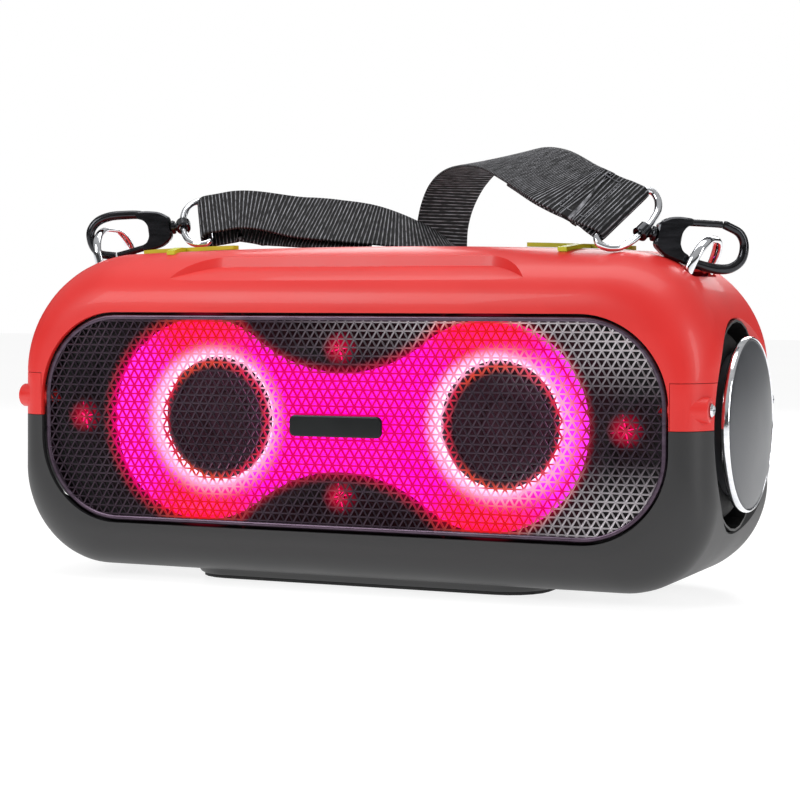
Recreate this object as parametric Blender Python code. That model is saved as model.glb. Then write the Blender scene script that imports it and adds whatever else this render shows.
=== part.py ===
"""Party speaker with end radiators, lit front grille and a clip-on shoulder strap.

Frame: metres, +Z up, the front faces -Y, +X is to the right of someone who faces the front.
The origin is the centre of the foot pad's underside. Sizes below are in millimetres.
"""

import math

import bmesh
import bpy
from mathutils import Matrix, Vector
from mathutils.bvhtree import BVHTree

MM = 0.001
GAP = 0.3  # clearance between touching pieces

# Body
HALF_WIDTH = 196.5
HALF_DEPTH = 68.0
BODY_BOTTOM = 5.0
SHOULDER_Z = 176.0
CROWN = 3.0
TOP_RADIUS = 57.0
BOTTOM_RADIUS = 48.0
WALL = 3.0
SEAM_Z = 87.8
BELT_Z = 110.8

# Front opening and what sits in it
CENTRE_Z = 87.3
OPENING_HALF_WIDTH = 177.6
OPENING_HALF_HEIGHT = 56.8
OPENING_RADIUS = 46.0
LIP = 2.0
GRILLE_FRONT = -66.0
GRILLE_BACK = -64.6
RIM_WIDTH = 2.6
RIM_GAP = 1.4
BAFFLE_FRONT = -60.0
BAFFLE_BACK = -56.0

# Drivers and the light guide around them
DRIVER_X = 81.2
RING_RADIUS = 53.7
THROAT_RADIUS = 32.9
THROAT_Y = -44.0
WAIST_HALF = 25.7

# End radiators
RECESS_HALF_DEPTH = 47.0
RECESS_HALF_HEIGHT = 54.0
PLATE_RADIUS = 44.5
PLATE_FACE_X = 200.8
PLATE_DOME = 3.6
RADIATOR_Z = 88.0

# Corner lugs
LUG_RADIUS = 6.3
LUG_Y = 57.8
LUG_Z = 97.9
LUG_END_X = 195.6
CLAMP_INNER_X = 178.2

# Pedestal and pad
FOOT_HALF_LENGTH = 104.0
FOOT_HALF_DEPTH = 46.0
PAD_THICKNESS = 1.5

# Top panel and keys
PANEL_HALF_LENGTH = 52.0
PANEL_Y = (-4.0, 28.0)
PANEL_TOP = 178.0
PANEL_BOTTOM = 175.0
KEY_RADIUS = 5.5
KEY_PITCH = 19.0
KEY_NAMES = ("power_key", "minus_key", "play_key", "plus_key", "light_key")

# Port door on the back
DOOR_X = -76.0
DOOR_Z = (60.0, 104.0)

# Strap hardware
LOOP_HALF_SPAN = 19.0
LOOP_LENGTH = {-1: 31.0, 1: 28.5}
LOOP_BASE = {-1: Vector((-168.0, 0, 160.0)), 1: Vector((168.0, 0, 155.5))}
LOOP_LEAN = {-1: math.radians(14), 1: math.radians(25)}
RING_BAR = {-1: Vector((-119.0, 14.0, 195.2)), 1: Vector((139.5, -26.0, 194.4))}
HOOK_TIP = {-1: Vector((-183.0, -12.0, 184.6)), 1: Vector((194.5, 4.0, 175.0))}
RING_WIDTH = {-1: Vector((-0.45, 0.70, 0.55)), 1: Vector((0.37, 0.73, 0.58))}
HOOK_LENGTH = 55.5
RING_DEPTH = 14.5
WEB_WIDTH = 40.0
WEB_THICKNESS = 1.6
RING_WIRE = 1.9


# ---------------------------------------------------------------- helpers


def clear_scene():
    for old in list(bpy.data.objects):
        bpy.data.objects.remove(old, do_unlink=True)


def make_material(name, colour, roughness, metallic=0.0):
    material = bpy.data.materials.new(name)
    material.use_nodes = True
    shader = material.node_tree.nodes["Principled BSDF"]
    shader.inputs["Base Color"].default_value = (*colour, 1.0)
    shader.inputs["Roughness"].default_value = roughness
    shader.inputs["Metallic"].default_value = metallic
    material.diffuse_color = (*colour, 1.0)
    return material


def add_object(name, mesh, material):
    item = bpy.data.objects.new(name, mesh)
    bpy.context.scene.collection.objects.link(item)
    mesh.materials.clear()
    mesh.materials.append(material)
    mesh.shade_smooth()
    mesh.set_sharp_from_angle(angle=math.radians(35))
    return item


def mesh_from_rings(rings, closed=False):
    """Skins rings of equal point counts, in millimetres. Open ends are capped; closed joins last to first."""
    work = bmesh.new()
    loops = [[work.verts.new(Vector(point) * MM) for point in ring] for ring in rings]
    count = len(rings[0])
    pairs = list(zip(loops, loops[1:]))
    if closed:
        pairs.append((loops[-1], loops[0]))
    for low, high in pairs:
        for i in range(count):
            j = (i + 1) % count
            work.faces.new((low[i], low[j], high[j], high[i]))
    if not closed:
        work.faces.new(loops[0])
        work.faces.new(loops[-1])
    bmesh.ops.recalc_face_normals(work, faces=work.faces)
    if work.calc_volume(signed=True) < 0:
        bmesh.ops.reverse_faces(work, faces=work.faces)
    bmesh.ops.triangulate(work, faces=work.faces)
    mesh = bpy.data.meshes.new("solid")
    work.to_mesh(mesh)
    work.free()
    return mesh


def prism(outline, axis, low, high):
    """Extrudes a closed outline along X, Y or Z. The outline gives the two other coordinates in order."""

    def spot(pair, level):
        point = list(pair)
        point.insert("XYZ".index(axis), level)
        return point

    return mesh_from_rings([[spot(pair, level) for pair in outline] for level in (low, high)])


def turned(profile, axis, centre, steps):
    """Turns a closed profile of (along, radius) about an axis through centre."""
    rings = []
    for i in range(steps):
        angle = math.tau * i / steps
        a, b = math.cos(angle), math.sin(angle)
        ring = []
        for along, radius in profile:
            offset = {"X": (along, radius * a, radius * b), "Y": (radius * a, along, radius * b)}[axis]
            ring.append([c + o for c, o in zip(centre, offset)])
        rings.append(ring)
    return mesh_from_rings(rings, closed=True)


def disc_of(profile, axis, centre, steps):
    """A turned solid that reaches its axis: profile of (along, radius) from one end to the other."""
    rings = []
    for along, radius in profile:
        ring = []
        for i in range(steps):
            angle = math.tau * i / steps
            a, b = radius * math.cos(angle), radius * math.sin(angle)
            offset = {"X": (along, a, b), "Y": (a, along, b), "Z": (a, b, along)}[axis]
            ring.append([c + o for c, o in zip(centre, offset)])
        rings.append(ring)
    return mesh_from_rings(rings)


def box(low, high):
    outline = [(low[0], low[1]), (high[0], low[1]), (high[0], high[1]), (low[0], high[1])]
    return prism(outline, "Z", low[2], high[2])


def ellipse(centre, half_a, half_b, steps):
    angles = [math.tau * i / steps for i in range(steps)]
    return [(centre[0] + half_a * math.cos(t), centre[1] + half_b * math.sin(t)) for t in angles]


def rounded_box(low, high, radius, steps=4):
    """Outline of a rectangle with round corners."""
    points = []
    corners = ((high[0], high[1], 0), (low[0], high[1], 90), (low[0], low[1], 180), (high[0], low[1], 270))
    for x, y, start in corners:
        cx = x - math.copysign(radius, x - (low[0] + high[0]) / 2)
        cy = y - math.copysign(radius, y - (low[1] + high[1]) / 2)
        for i in range(steps + 1):
            angle = math.radians(start + 90 * i / steps)
            points.append((cx + radius * math.cos(angle), cy + radius * math.sin(angle)))
    return points


def modify(item, other, operation):
    """Cuts, keeps or joins with another object, which becomes a hidden helper."""
    boolean = item.modifiers.new(operation.lower(), "BOOLEAN")
    boolean.operation = operation
    boolean.object = other
    boolean.solver = "EXACT"
    other.hide_render = True
    other.display_type = "WIRE"


def cut(item, mesh):
    modify(item, add_object("cutter", mesh, HELPER), "DIFFERENCE")


def keep(item, mesh):
    modify(item, add_object("keeper", mesh, HELPER), "INTERSECT")


def join(item, mesh):
    modify(item, add_object("addition", mesh, HELPER), "UNION")


def pivot(name, point):
    """Moves an object's origin to a point of its joint's axis and leaves its shape where it is."""
    item = bpy.data.objects[name]
    spot = Vector(point) * MM
    item.data.transform(Matrix.Translation(-spot))
    item.location = spot


def evaluated_mesh(item):
    graph = bpy.context.evaluated_depsgraph_get()
    return bpy.data.meshes.new_from_object(item.evaluated_get(graph))


def smooth_path(points, count, closed=False):
    """Points spread along a Catmull-Rom curve through the given ones."""
    knots = [Vector(p) for p in points]
    total = len(knots) if closed else len(knots) - 1
    path = []
    for i in range(count):
        place = total * i / (count if closed else count - 1)
        k = min(int(place), total - 1)
        t = place - k
        if closed:
            a, b, c, d = (knots[(k + n) % len(knots)] for n in (-1, 0, 1, 2))
        else:
            a, b, c, d = (knots[min(max(k + n, 0), total)] for n in (-1, 0, 1, 2))
        path.append(
            0.5 * (2 * b + (c - a) * t + (2 * a - 5 * b + 4 * c - d) * t**2 + (3 * b - a - 3 * c + d) * t**3)
        )
    return path


def sweep(path, sections, widths, closed=False):
    """Sweeps a section outline along a path. widths gives, at each point, the section's first direction."""
    rings = []
    last = len(path) - 1
    for i, point in enumerate(path):
        before = path[i - 1] if i or closed else path[0]
        after = path[(i + 1) % len(path)] if i < last or closed else path[last]
        along = (after - before).normalized()
        across = (widths[i] - along * widths[i].dot(along)).normalized()
        normal = along.cross(across)
        rings.append([point + across * a + normal * b for a, b in sections])
    return mesh_from_rings(rings, closed)


# ---------------------------------------------------------------- body shell


def outline(half_width, low, high, low_radius, high_radius, crown):
    """Front view of the body, anticlockwise from the bottom, with equal counts for each call."""
    corner, flat = 6, 6
    points = []

    def arc(cx, cz, radius, start):
        for i in range(corner + 1):
            angle = math.radians(start + 90 * i / corner)
            points.append((cx + radius * math.cos(angle), cz + radius * math.sin(angle)))

    reach = half_width - high_radius
    arc(half_width - low_radius, low + low_radius, low_radius, -90)
    arc(reach, high - high_radius, high_radius, 0)
    for i in range(1, flat):
        x = reach * (1 - 2 * i / flat)
        points.append((x, high + crown * (1 - (x / reach) ** 2)))
    arc(-reach, high - high_radius, high_radius, 90)
    arc(-half_width + low_radius, low + low_radius, low_radius, 180)
    return points


def body_rings(inset):
    """Rings from the front lip over the fillets to the back. The fillet is deepest at the top."""
    full = outline(
        HALF_WIDTH - inset,
        BODY_BOTTOM + inset,
        SHOULDER_Z - inset,
        BOTTOM_RADIUS - inset,
        TOP_RADIUS - inset,
        CROWN,
    )
    lip = outline(
        OPENING_HALF_WIDTH + LIP - inset,
        CENTRE_Z - OPENING_HALF_HEIGHT - LIP + inset,
        CENTRE_Z + OPENING_HALF_HEIGHT + LIP - inset,
        OPENING_RADIUS,
        OPENING_RADIUS,
        0.0,
    )
    rings = []
    for side, turns in ((-1, (0, 22.5, 45, 67.5, 90)), (1, (90, 67.5, 45, 22.5, 0))):
        for turn in turns:
            reach, drop = math.sin(math.radians(turn)), 1 - math.cos(math.radians(turn))
            ring = []
            for (x, z), (lx, lz) in zip(full, lip):
                slope = math.atan2(z - CENTRE_Z, 0.35 * abs(x))
                depth = 20 + (30 if slope > 0 else 9) * math.sin(slope) ** 2
                y = side * (HALF_DEPTH - inset - depth * drop)
                ring.append((lx + (x - lx) * reach, y, lz + (z - lz) * reach))
            rings.append(ring)
    return rings


def recess_cutter(side):
    """Oval hole through the end wall, flared at its mouth."""
    rings = []
    for x, grow in ((186.0, 0.0), (193.0, 0.0), (195.0, 1.0), (197.5, 3.5)):
        oval = ellipse((0, CENTRE_Z), RECESS_HALF_DEPTH + grow, RECESS_HALF_HEIGHT + grow, 32)
        rings.append([(side * x, y, z) for y, z in oval])
    return mesh_from_rings(rings)


def shoulder_scoop(grow=0.0):
    """Ledge cut along the front shoulder: a sloped floor, a steep riser and closed, curved ends."""
    rings = []
    length = 104 + grow
    for i in range(25):
        x = length * math.sin((-1 + 2 * i / 24) * math.pi / 2)
        share = max(0.0, (abs(x) - 76) / 28)
        ahead, down = 18.5 * share**1.6, 7.4 * share**1.6
        section = (
            (-70.0, 157.5 - grow),
            (-46.5 + grow - ahead, 168.0 - grow - down),
            (-44.8 + grow - ahead, 174.5 - down),
            (-70.0, 186.0),
        )
        rings.append([(x, y, z) for y, z in section])
    return mesh_from_rings(rings)


def make_shells():
    body = add_object("body_block", mesh_from_rings(body_rings(0)), RED)
    foot = []
    for z, shrink in ((0.0 + PAD_THICKNESS + GAP, 3.0), (4.0, 1.0), (9.0, -4.0), (16.0, -10.0)):
        low = (-FOOT_HALF_LENGTH + shrink, -FOOT_HALF_DEPTH + shrink)
        high = (FOOT_HALF_LENGTH - shrink, FOOT_HALF_DEPTH - shrink)
        foot.append([(x, y, z) for x, y in rounded_box(low, high, 26 - shrink, 5)])
    join(body, mesh_from_rings(foot))
    cavity = add_object("cavity", mesh_from_rings(body_rings(WALL)), HELPER)
    cut(cavity, shoulder_scoop(WALL))
    modify(body, cavity, "DIFFERENCE")
    cut(body, shoulder_scoop())
    opening = rounded_box(
        (-OPENING_HALF_WIDTH, CENTRE_Z - OPENING_HALF_HEIGHT),
        (OPENING_HALF_WIDTH, CENTRE_Z + OPENING_HALF_HEIGHT),
        OPENING_RADIUS,
        8,
    )
    cut(body, prism(opening, "Y", -HALF_DEPTH - 2, -HALF_DEPTH + 12))
    for side in (-1, 1):
        cut(body, recess_cutter(side))
        cut(body, loop_slot(side))
    panel = rounded_box((-PANEL_HALF_LENGTH, PANEL_Y[0]), (PANEL_HALF_LENGTH, PANEL_Y[1]), 8)
    cut(body, prism(panel, "Z", 170, 185))
    door = rounded_box((DOOR_X - 36, DOOR_Z[0]), (DOOR_X + 36, DOOR_Z[1]), 7)
    cut(body, prism(door, "Y", HALF_DEPTH - 8, HALF_DEPTH + 2))
    shell = evaluated_mesh(body)
    remove_with_helpers(body)

    half = GAP / 2
    wide = HALF_WIDTH + 10
    belt_low, belt_high = SEAM_Z + half, BELT_Z - half
    upper = add_object("upper_shell", shell.copy(), RED)
    keep(upper, box((-wide, -80, belt_low), (wide, 80, 200)))
    lower = add_object("lower_shell", shell.copy(), GREY)
    keep(lower, box((-wide, -80, -5), (wide, 80, SEAM_Z - half)))
    for x_side in (-1, 1):
        start, end = sorted((x_side * (CLAMP_INNER_X - GAP), x_side * wide))
        cut(upper, box((start, -80, belt_low - 2), (end, 80, BELT_Z + half)))
    for x_side, x_name in ((-1, "left"), (1, "right")):
        for y_side, y_name in ((-1, "front"), (1, "rear")):
            name = f"{y_name}_{x_name}_clamp"
            clamp = add_object(name, shell.copy(), RED)
            x_range = sorted((x_side * CLAMP_INNER_X, x_side * wide))
            y_range = sorted((0, y_side * 80))
            keep(clamp, box((x_range[0], y_range[0], belt_low), (x_range[1], y_range[1], belt_high)))
            centre = (0, y_side * LUG_Y, LUG_Z)
            join(clamp, lug(x_side, centre))
            seat = ((x_side * (LUG_END_X - 3), 3.6), (x_side * (LUG_END_X + 2), 3.6))
            cut(clamp, disc_of(seat, "X", centre, 12))
            make_screw(f"{y_name}_{x_name}_screw", x_side, centre)


def lug(x_side, centre):
    """Bullet shaped lug along X that fades into the corner."""
    profile = [(179.5, 2.0), (181.0, LUG_RADIUS - 1.2), (184.0, LUG_RADIUS)]
    profile += [(LUG_END_X - 1, LUG_RADIUS), (LUG_END_X, LUG_RADIUS - 1)]
    return disc_of([(x_side * x, r) for x, r in profile], "X", centre, 16)


def make_screw(name, x_side, centre):
    """Pan head screw with a cross recess, seated in the end of a lug."""
    start = LUG_END_X - 3 + GAP
    profile = ((start, 2.8), (LUG_END_X + 0.6, 3.3), (LUG_END_X + 1.6, 2.4))
    screw = add_object(name, disc_of([(x_side * x, r) for x, r in profile], "X", centre, 12), CHROME)
    x_range = sorted((x_side * (LUG_END_X + 0.5), x_side * (LUG_END_X + 3)))
    for half_y, half_z in ((0.4, 2.0), (2.0, 0.4)):
        low = (x_range[0], centre[1] - half_y, centre[2] - half_z)
        high = (x_range[1], centre[1] + half_y, centre[2] + half_z)
        cut(screw, box(low, high))


def remove_with_helpers(item):
    helpers = [modifier.object for modifier in item.modifiers if modifier.type == "BOOLEAN"]
    for old in helpers + [item]:
        bpy.data.objects.remove(old, do_unlink=True)


def make_foot_pad():
    low = (-FOOT_HALF_LENGTH + 4, -FOOT_HALF_DEPTH + 4)
    high = (FOOT_HALF_LENGTH - 4, FOOT_HALF_DEPTH - 4)
    outline_points = rounded_box(low, high, 22, 5)
    add_object("foot_pad", prism(outline_points, "Z", 0, PAD_THICKNESS), RUBBER)


# ---------------------------------------------------------------- front


def offset_opening(inset, steps=8):
    low = (-OPENING_HALF_WIDTH + inset, CENTRE_Z - OPENING_HALF_HEIGHT + inset)
    high = (OPENING_HALF_WIDTH - inset, CENTRE_Z + OPENING_HALF_HEIGHT - inset)
    return rounded_box(low, high, OPENING_RADIUS - inset, steps)


def dog_bone(grow):
    """Two circles joined by a waist whose edges are arcs tangent to both circles."""
    radius = RING_RADIUS + grow
    waist = WAIST_HALF + grow
    bend = (DRIVER_X**2 + waist**2 - radius**2) / (2 * (radius - waist))
    rise = waist + bend
    touch = math.atan2(rise, -DRIVER_X)
    points = []
    for i in range(17):
        angle = -touch + 2 * touch * i / 16
        points.append((DRIVER_X + radius * math.cos(angle), CENTRE_Z + radius * math.sin(angle)))
    span = math.pi / 2 - (math.pi - touch)
    for i in range(1, 8):
        angle = -math.pi / 2 + span * (1 - 2 * i / 8)
        points.append((bend * math.cos(angle), CENTRE_Z + rise + bend * math.sin(angle)))
    left = [(-x, 2 * CENTRE_Z - z) for x, z in points]
    return points + left


def make_front():
    profile = (
        (RIM_GAP, BAFFLE_FRONT - 1),
        (RIM_GAP, GRILLE_FRONT + 0.6),
        (RIM_GAP + 0.9, GRILLE_FRONT - 0.4),
        (RIM_GAP + RIM_WIDTH, GRILLE_FRONT + 0.6),
        (RIM_GAP + RIM_WIDTH, BAFFLE_FRONT - 1),
    )
    rim = [[(x, y, z) for x, z in offset_opening(inset)] for inset, y in profile]
    add_object("grille_rim", mesh_from_rings(rim, closed=True), GUNMETAL)
    inner = offset_opening(RIM_GAP + RIM_WIDTH + GAP)
    add_object("front_grille", prism(inner, "Y", GRILLE_FRONT, GRILLE_BACK), GUNMETAL)
    badge = rounded_box((-26.2, CENTRE_Z - 7.1), (26.2, CENTRE_Z + 3.9), 2.5)
    add_object("badge", prism(badge, "Y", GRILLE_FRONT - 1.6, GRILLE_FRONT - GAP), BLACK)

    sheet = rounded_box((-176.0, CENTRE_Z - 58.6), (176.0, CENTRE_Z + 58.6), OPENING_RADIUS, 8)
    baffle = add_object("front_baffle", prism(sheet, "Y", BAFFLE_FRONT, BAFFLE_BACK), BLACK)
    cut(baffle, prism(dog_bone(GAP), "Y", BAFFLE_FRONT - 2, BAFFLE_BACK + 2))
    for x, z in ((-154, 0), (154, 0), (0, 38), (0, -38)):
        cut(baffle, disc_of(((BAFFLE_FRONT - 2, 2.3), (BAFFLE_BACK + 2, 2.3)), "Y", (x, 0, CENTRE_Z + z), 10))

    guide = add_object("light_guide", prism(dog_bone(0), "Y", BAFFLE_FRONT, BAFFLE_FRONT + 2.5), GLOW)
    for side in (-1, 1):
        centre = (side * DRIVER_X, 0, CENTRE_Z)
        mouth, throat, thick = RING_RADIUS - 2.5, THROAT_RADIUS, 2.5
        shaft = ((BAFFLE_FRONT - 2, mouth - 1), (BAFFLE_FRONT + 5, mouth - 1))
        cut(guide, disc_of(shaft, "Y", centre, 32))
        dish = (
            (BAFFLE_FRONT, mouth),
            (THROAT_Y, throat),
            (THROAT_Y + thick, throat),
            (BAFFLE_FRONT + thick, mouth + 1.4),
        )
        join(guide, turned(dish, "Y", centre, 32))

    board = add_object("led_board", prism(rounded_box((-165, 30), (165, 145), 20), "Y", -51.0, -49.4), GREEN)
    for side in (-1, 1):
        hole = ((-60, 46.0), (-40, 46.0))
        cut(board, disc_of(hole, "Y", (side * DRIVER_X, 0, CENTRE_Z), 24))
    for x, z in ((-154, 0), (154, 0), (0, 38), (0, -38)):
        dome = ((-62.0, 0.8), (-61.0, 1.9), (-50.5, 1.9))
        join(board, disc_of(dome, "Y", (x, 0, CENTRE_Z + z), 10))


def make_driver(side, name):
    centre = (side * DRIVER_X, 0, CENTRE_Z)
    basket = [(-41.0, 33.4), (-41.0, 38.0), (-38.5, 38.0), (-11.0, 21.0), (-9.0, 21.0)]
    basket += [(-9.0, 12.0), (-11.0, 12.0), (-13.0, 19.0), (-38.0, 33.4)]
    add_object(f"{name}_driver_basket", turned(basket, "Y", centre, 24), BLACK)
    magnet = ((-8.7, 27.0), (6.0, 27.0), (6.0, 6.0), (-8.7, 6.0))
    add_object(f"{name}_driver_magnet", turned(magnet, "Y", centre, 20), GUNMETAL)
    surround = ((-40.8, 33.0), (-41.8, 30.0), (-41.0, 27.2), (-39.9, 27.2), (-40.6, 30.0), (-39.6, 33.0))
    add_object(f"{name}_cone_surround", turned(surround, "Y", centre, 24), RUBBER)
    cone = [(-35.0, 0.5), (-33.5, 9.0), (-30.0, 12.0), (-41.0, 26.8)]
    cone += [(-39.6, 26.8), (-27.0, 13.0), (-27.0, 0.5)]
    add_object(f"{name}_cone", disc_of(cone, "Y", centre, 24), BLACK)


# ---------------------------------------------------------------- end radiators


def oval_ring(x, half_depth, half_height, z=CENTRE_Z):
    return [(x, y, z_) for y, z_ in ellipse((0, z), half_depth, half_height, 32)]


def make_radiator(side, name):
    profile = [(192.6, 0.4), (181.0, 0.4), (181.0, -4.0), (178.0, -4.0)]
    profile += [(178.0, 5.0), (181.5, 5.0), (181.5, 1.9), (192.6, 1.6)]
    depth, height = RECESS_HALF_DEPTH, RECESS_HALF_HEIGHT
    frame = [oval_ring(side * x, depth - inset, height - inset) for x, inset in profile]
    add_object(f"{name}_radiator_frame", mesh_from_rings(frame, closed=True), BLACK)
    surround = [
        oval_ring(side * 182.4, 43.6, 50.4),
        oval_ring(side * 187.2, 40.0, 44.0),
        oval_ring(side * 190.6, 36.4, 36.4, RADIATOR_Z),
        oval_ring(side * 189.0, 36.4, 36.4, RADIATOR_Z),
        oval_ring(side * 186.0, 39.0, 43.0),
        oval_ring(side * 181.8, 41.6, 48.6),
    ]
    add_object(f"{name}_radiator_surround", mesh_from_rings(surround, closed=True), RUBBER)
    centre = (0, 0, RADIATOR_Z)
    face = PLATE_FACE_X
    plate = [(187.0, 36.0), (196.0, 36.0), (196.2, 41.6), (face - 0.6, 41.6)]
    plate += [(face + PLATE_DOME * (1 - (r / 41.6) ** 2), r) for r in (34.0, 24.0, 12.0, 0.5)]
    add_object(f"{name}_radiator_plate", disc_of([(side * x, r) for x, r in plate], "X", centre, 40), GREY)
    trim = [(196.2, 41.9), (face - 0.8, 41.9), (face, 42.6)]
    trim += [(face - 1.2, PLATE_RADIUS), (197.2, PLATE_RADIUS)]
    add_object(f"{name}_radiator_trim", turned([(side * x, r) for x, r in trim], "X", centre, 40), CHROME)


# ---------------------------------------------------------------- top and back


def make_top():
    low = (-PANEL_HALF_LENGTH + GAP, PANEL_Y[0] + GAP)
    high = (PANEL_HALF_LENGTH - GAP, PANEL_Y[1] - GAP)
    plate = prism(rounded_box(low, high, 7.7), "Z", PANEL_BOTTOM, PANEL_TOP)
    panel = add_object("control_panel", plate, BLACK)
    middle = (PANEL_Y[0] + PANEL_Y[1]) / 2
    for i, name in enumerate(KEY_NAMES):
        centre = (KEY_PITCH * (i - 2), middle, 0)
        bore = ((PANEL_BOTTOM - 1, KEY_RADIUS + GAP), (PANEL_TOP + 1, KEY_RADIUS + GAP))
        cut(panel, disc_of(bore, "Z", centre, 16))
        cap = ((PANEL_BOTTOM, KEY_RADIUS), (PANEL_TOP + 0.4, KEY_RADIUS), (PANEL_TOP + 0.8, KEY_RADIUS - 0.6))
        add_object(name, disc_of(cap, "Z", centre, 16), RUBBER)
    board = rounded_box((-60, -10), (60, 40), 3, 1)
    add_object("main_board", prism(board, "Z", 168.0, 169.6), GREEN)
    surface = body_surface()
    make_accent(surface, -1, "left_accent")
    make_accent(surface, 1, "right_accent")


def body_surface():
    mesh = mesh_from_rings(body_rings(0))
    return BVHTree.FromPolygons([v.co for v in mesh.vertices], [face.vertices for face in mesh.polygons])


def make_accent(surface, side, name):
    """Raised bar along the shoulder with a leg towards the front."""
    bar = [(side * x, -14.0) for x in (86, 98, 110, 122, 134, 143)]
    accent = add_object(name, ribbon_block(surface, bar, (0, 3.0)), LIME)
    leg = [(side * x, y) for x, y in ((119, -14), (117, -24), (114.5, -33), (113, -39))]
    join(accent, ribbon_block(surface, leg, (2.4, 0)))


def ribbon_block(surface, centre_line, half):
    """A low bar that follows the body's top surface."""
    rings = []
    for x, y in centre_line:
        ring = []
        for a, lift in ((-1, 0.4), (-1, 2.6), (1, 2.6), (1, 0.4)):
            px, py = x + half[0] * a, y + half[1] * a
            hit = surface.ray_cast(Vector((px, py, 300)) * MM, Vector((0, 0, -1)))[0]
            ring.append((px, py, hit.z / MM + lift))
        rings.append(ring)
    return mesh_from_rings(rings)


def make_back():
    board = add_object("port_board", box((DOOR_X - 34, 52, 63), (DOOR_X + 34, 54, 101)), BLACK)
    for offset, half, height in ((-24, 4.5, 1.7), (-8, 6.5, 3.0), (8, 3.2, 3.2), (22, 3.2, 3.2)):
        x = DOOR_X + offset
        join(board, box((x - half, 53, 88 - height), (x + half, 60.5, 88 + height)))
        cut(board, box((x - half + 0.8, 56, 88.8 - height), (x + half - 0.8, 62, 87.2 + height)))
    low = (DOOR_X - 35.6, DOOR_Z[0] + 0.4)
    high = (DOOR_X + 35.6, DOOR_Z[1] - 0.4)
    flap = prism(rounded_box(low, high, 6.6), "Y", HALF_DEPTH - 2.6, HALF_DEPTH - 0.4)
    door = add_object("port_door", flap, RUBBER)
    pull = rounded_box((DOOR_X - 9, 98.0), (DOOR_X + 9, 101.4), 1.6, 2)
    join(door, prism(pull, "Y", HALF_DEPTH - 1, HALF_DEPTH + 1.2))
    add_object("battery_pack", box((-52, -24, 22), (52, 24, 60)), BLUE)


# ---------------------------------------------------------------- strap hardware


def loop_direction(side):
    lean = LOOP_LEAN[side]
    return Vector((side * math.sin(lean), 0, math.cos(lean)))


def loop_slot(side):
    """Slot through the shoulder that the loop's legs stand in."""
    base, up = LOOP_BASE[side], loop_direction(side)
    across = Vector((up.z, 0, -up.x))
    rings = []
    for level in (-6.0, 30.0):
        ring = []
        for along, wide in rounded_box((-LOOP_HALF_SPAN - 4.6, -4.6), (LOOP_HALF_SPAN + 4.6, 4.6), 4.5, 4):
            ring.append(base + up * level + Vector((0, 1, 0)) * along + across * wide)
        rings.append(ring)
    return mesh_from_rings(rings)


def make_loop(side, name):
    base, up = LOOP_BASE[side], loop_direction(side)
    span, corner = LOOP_HALF_SPAN, 15.0
    flat = []
    for cy, cz, start, radius in (
        (span - corner, LOOP_LENGTH[side] - corner, 0, corner),
        (-span + corner, LOOP_LENGTH[side] - corner, 90, corner),
        (-span + 3, 3, 180, 3),
        (span - 3, 3, 270, 3),
    ):
        for i in range(5):
            angle = math.radians(start + 90 * i / 4)
            flat.append((cy + radius * math.cos(angle), cz + radius * math.sin(angle)))
    path = [base + Vector((0, y, 0)) + up * z for y, z in flat]
    across = Vector((up.z, 0, -up.x))
    section = [(2.6 * math.cos(t), 1.7 * math.sin(t)) for t in (math.tau * (i + 0.5) / 6 for i in range(6))]
    add_object(name, sweep(path, section, [across] * len(path), closed=True), CHROME)


class Hook:
    """Frame of one snap hook: s runs from its tip to the ring's apex, e to the shank's side, n across it."""

    def __init__(self, side):
        self.bar = RING_BAR[side]
        self.w = RING_WIDTH[side].normalized()
        reach = HOOK_TIP[side] - self.bar
        self.inward = (reach - self.w * reach.dot(self.w)).normalized()
        self.apex = self.bar + self.inward * RING_DEPTH
        self.d = (self.apex - HOOK_TIP[side]).normalized()
        self.tip = self.apex - self.d * HOOK_LENGTH
        shank_side = Vector((0, 0, -side))
        self.e = (shank_side - self.d * shank_side.dot(self.d)).normalized()
        self.n = self.d.cross(self.e)

    def at(self, s, e=0.0, n=0.0):
        return self.tip + self.d * s + self.e * e + self.n * n

    def plate(self, outline_points, half):
        return mesh_from_rings([[self.at(s, e, n) for s, e in outline_points] for n in (-half, half)])

    def round(self, profile, steps):
        rings = []
        for s, radius in profile:
            angles = [math.tau * i / steps for i in range(steps)]
            rings.append([self.at(s, radius * math.cos(t), radius * math.sin(t)) for t in angles])
        return mesh_from_rings(rings)


def round_section(radius, sides=8):
    angles = [math.tau * i / sides for i in range(sides)]
    return [(radius * math.cos(t), radius * math.sin(t)) for t in angles]


def make_hook(side, name):
    hook = Hook(side)
    shank = [(39, 7), (32, 9.6), (23.5, 10.8), (14.5, 11.2), (7, 9.2)]
    shank += [(2.4, 4), (2.4, -3.5), (6, -8.8), (12.5, -11)]
    path = smooth_path([hook.at(s, e) for s, e in shank], 22)
    block = [(35, 10.2), (35, -9.8), (43, -9.8), (48.6, -6.0), (48.6, 6.0), (43, 9.8)]
    body = add_object(f"{name}_hook", hook.plate(block, 3.4), BLACK)
    join(body, sweep(path, round_section(2.3), [hook.n] * len(path)))
    slot = [(33, -2.6), (33, -12), (46.2, -12), (46.2, -2.6)]
    cut(body, hook.plate(slot, 1.9))
    cut(body, hook.round(((45.6, 2.5), (50, 2.5)), 12))

    gate = [(44.2, -7.2), (38, -8.2), (28.5, -9.6), (18.3, -11), (15.8, -11.2)]
    gate_path = smooth_path([hook.at(s, e) for s, e in gate], 7)
    add_object(f"{name}_gate", sweep(gate_path, round_section(1.5), [hook.n] * len(gate_path)), BLACK)
    make_swivel(hook, f"{name}_swivel")
    make_d_ring(hook, f"{name}_d_ring")


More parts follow.
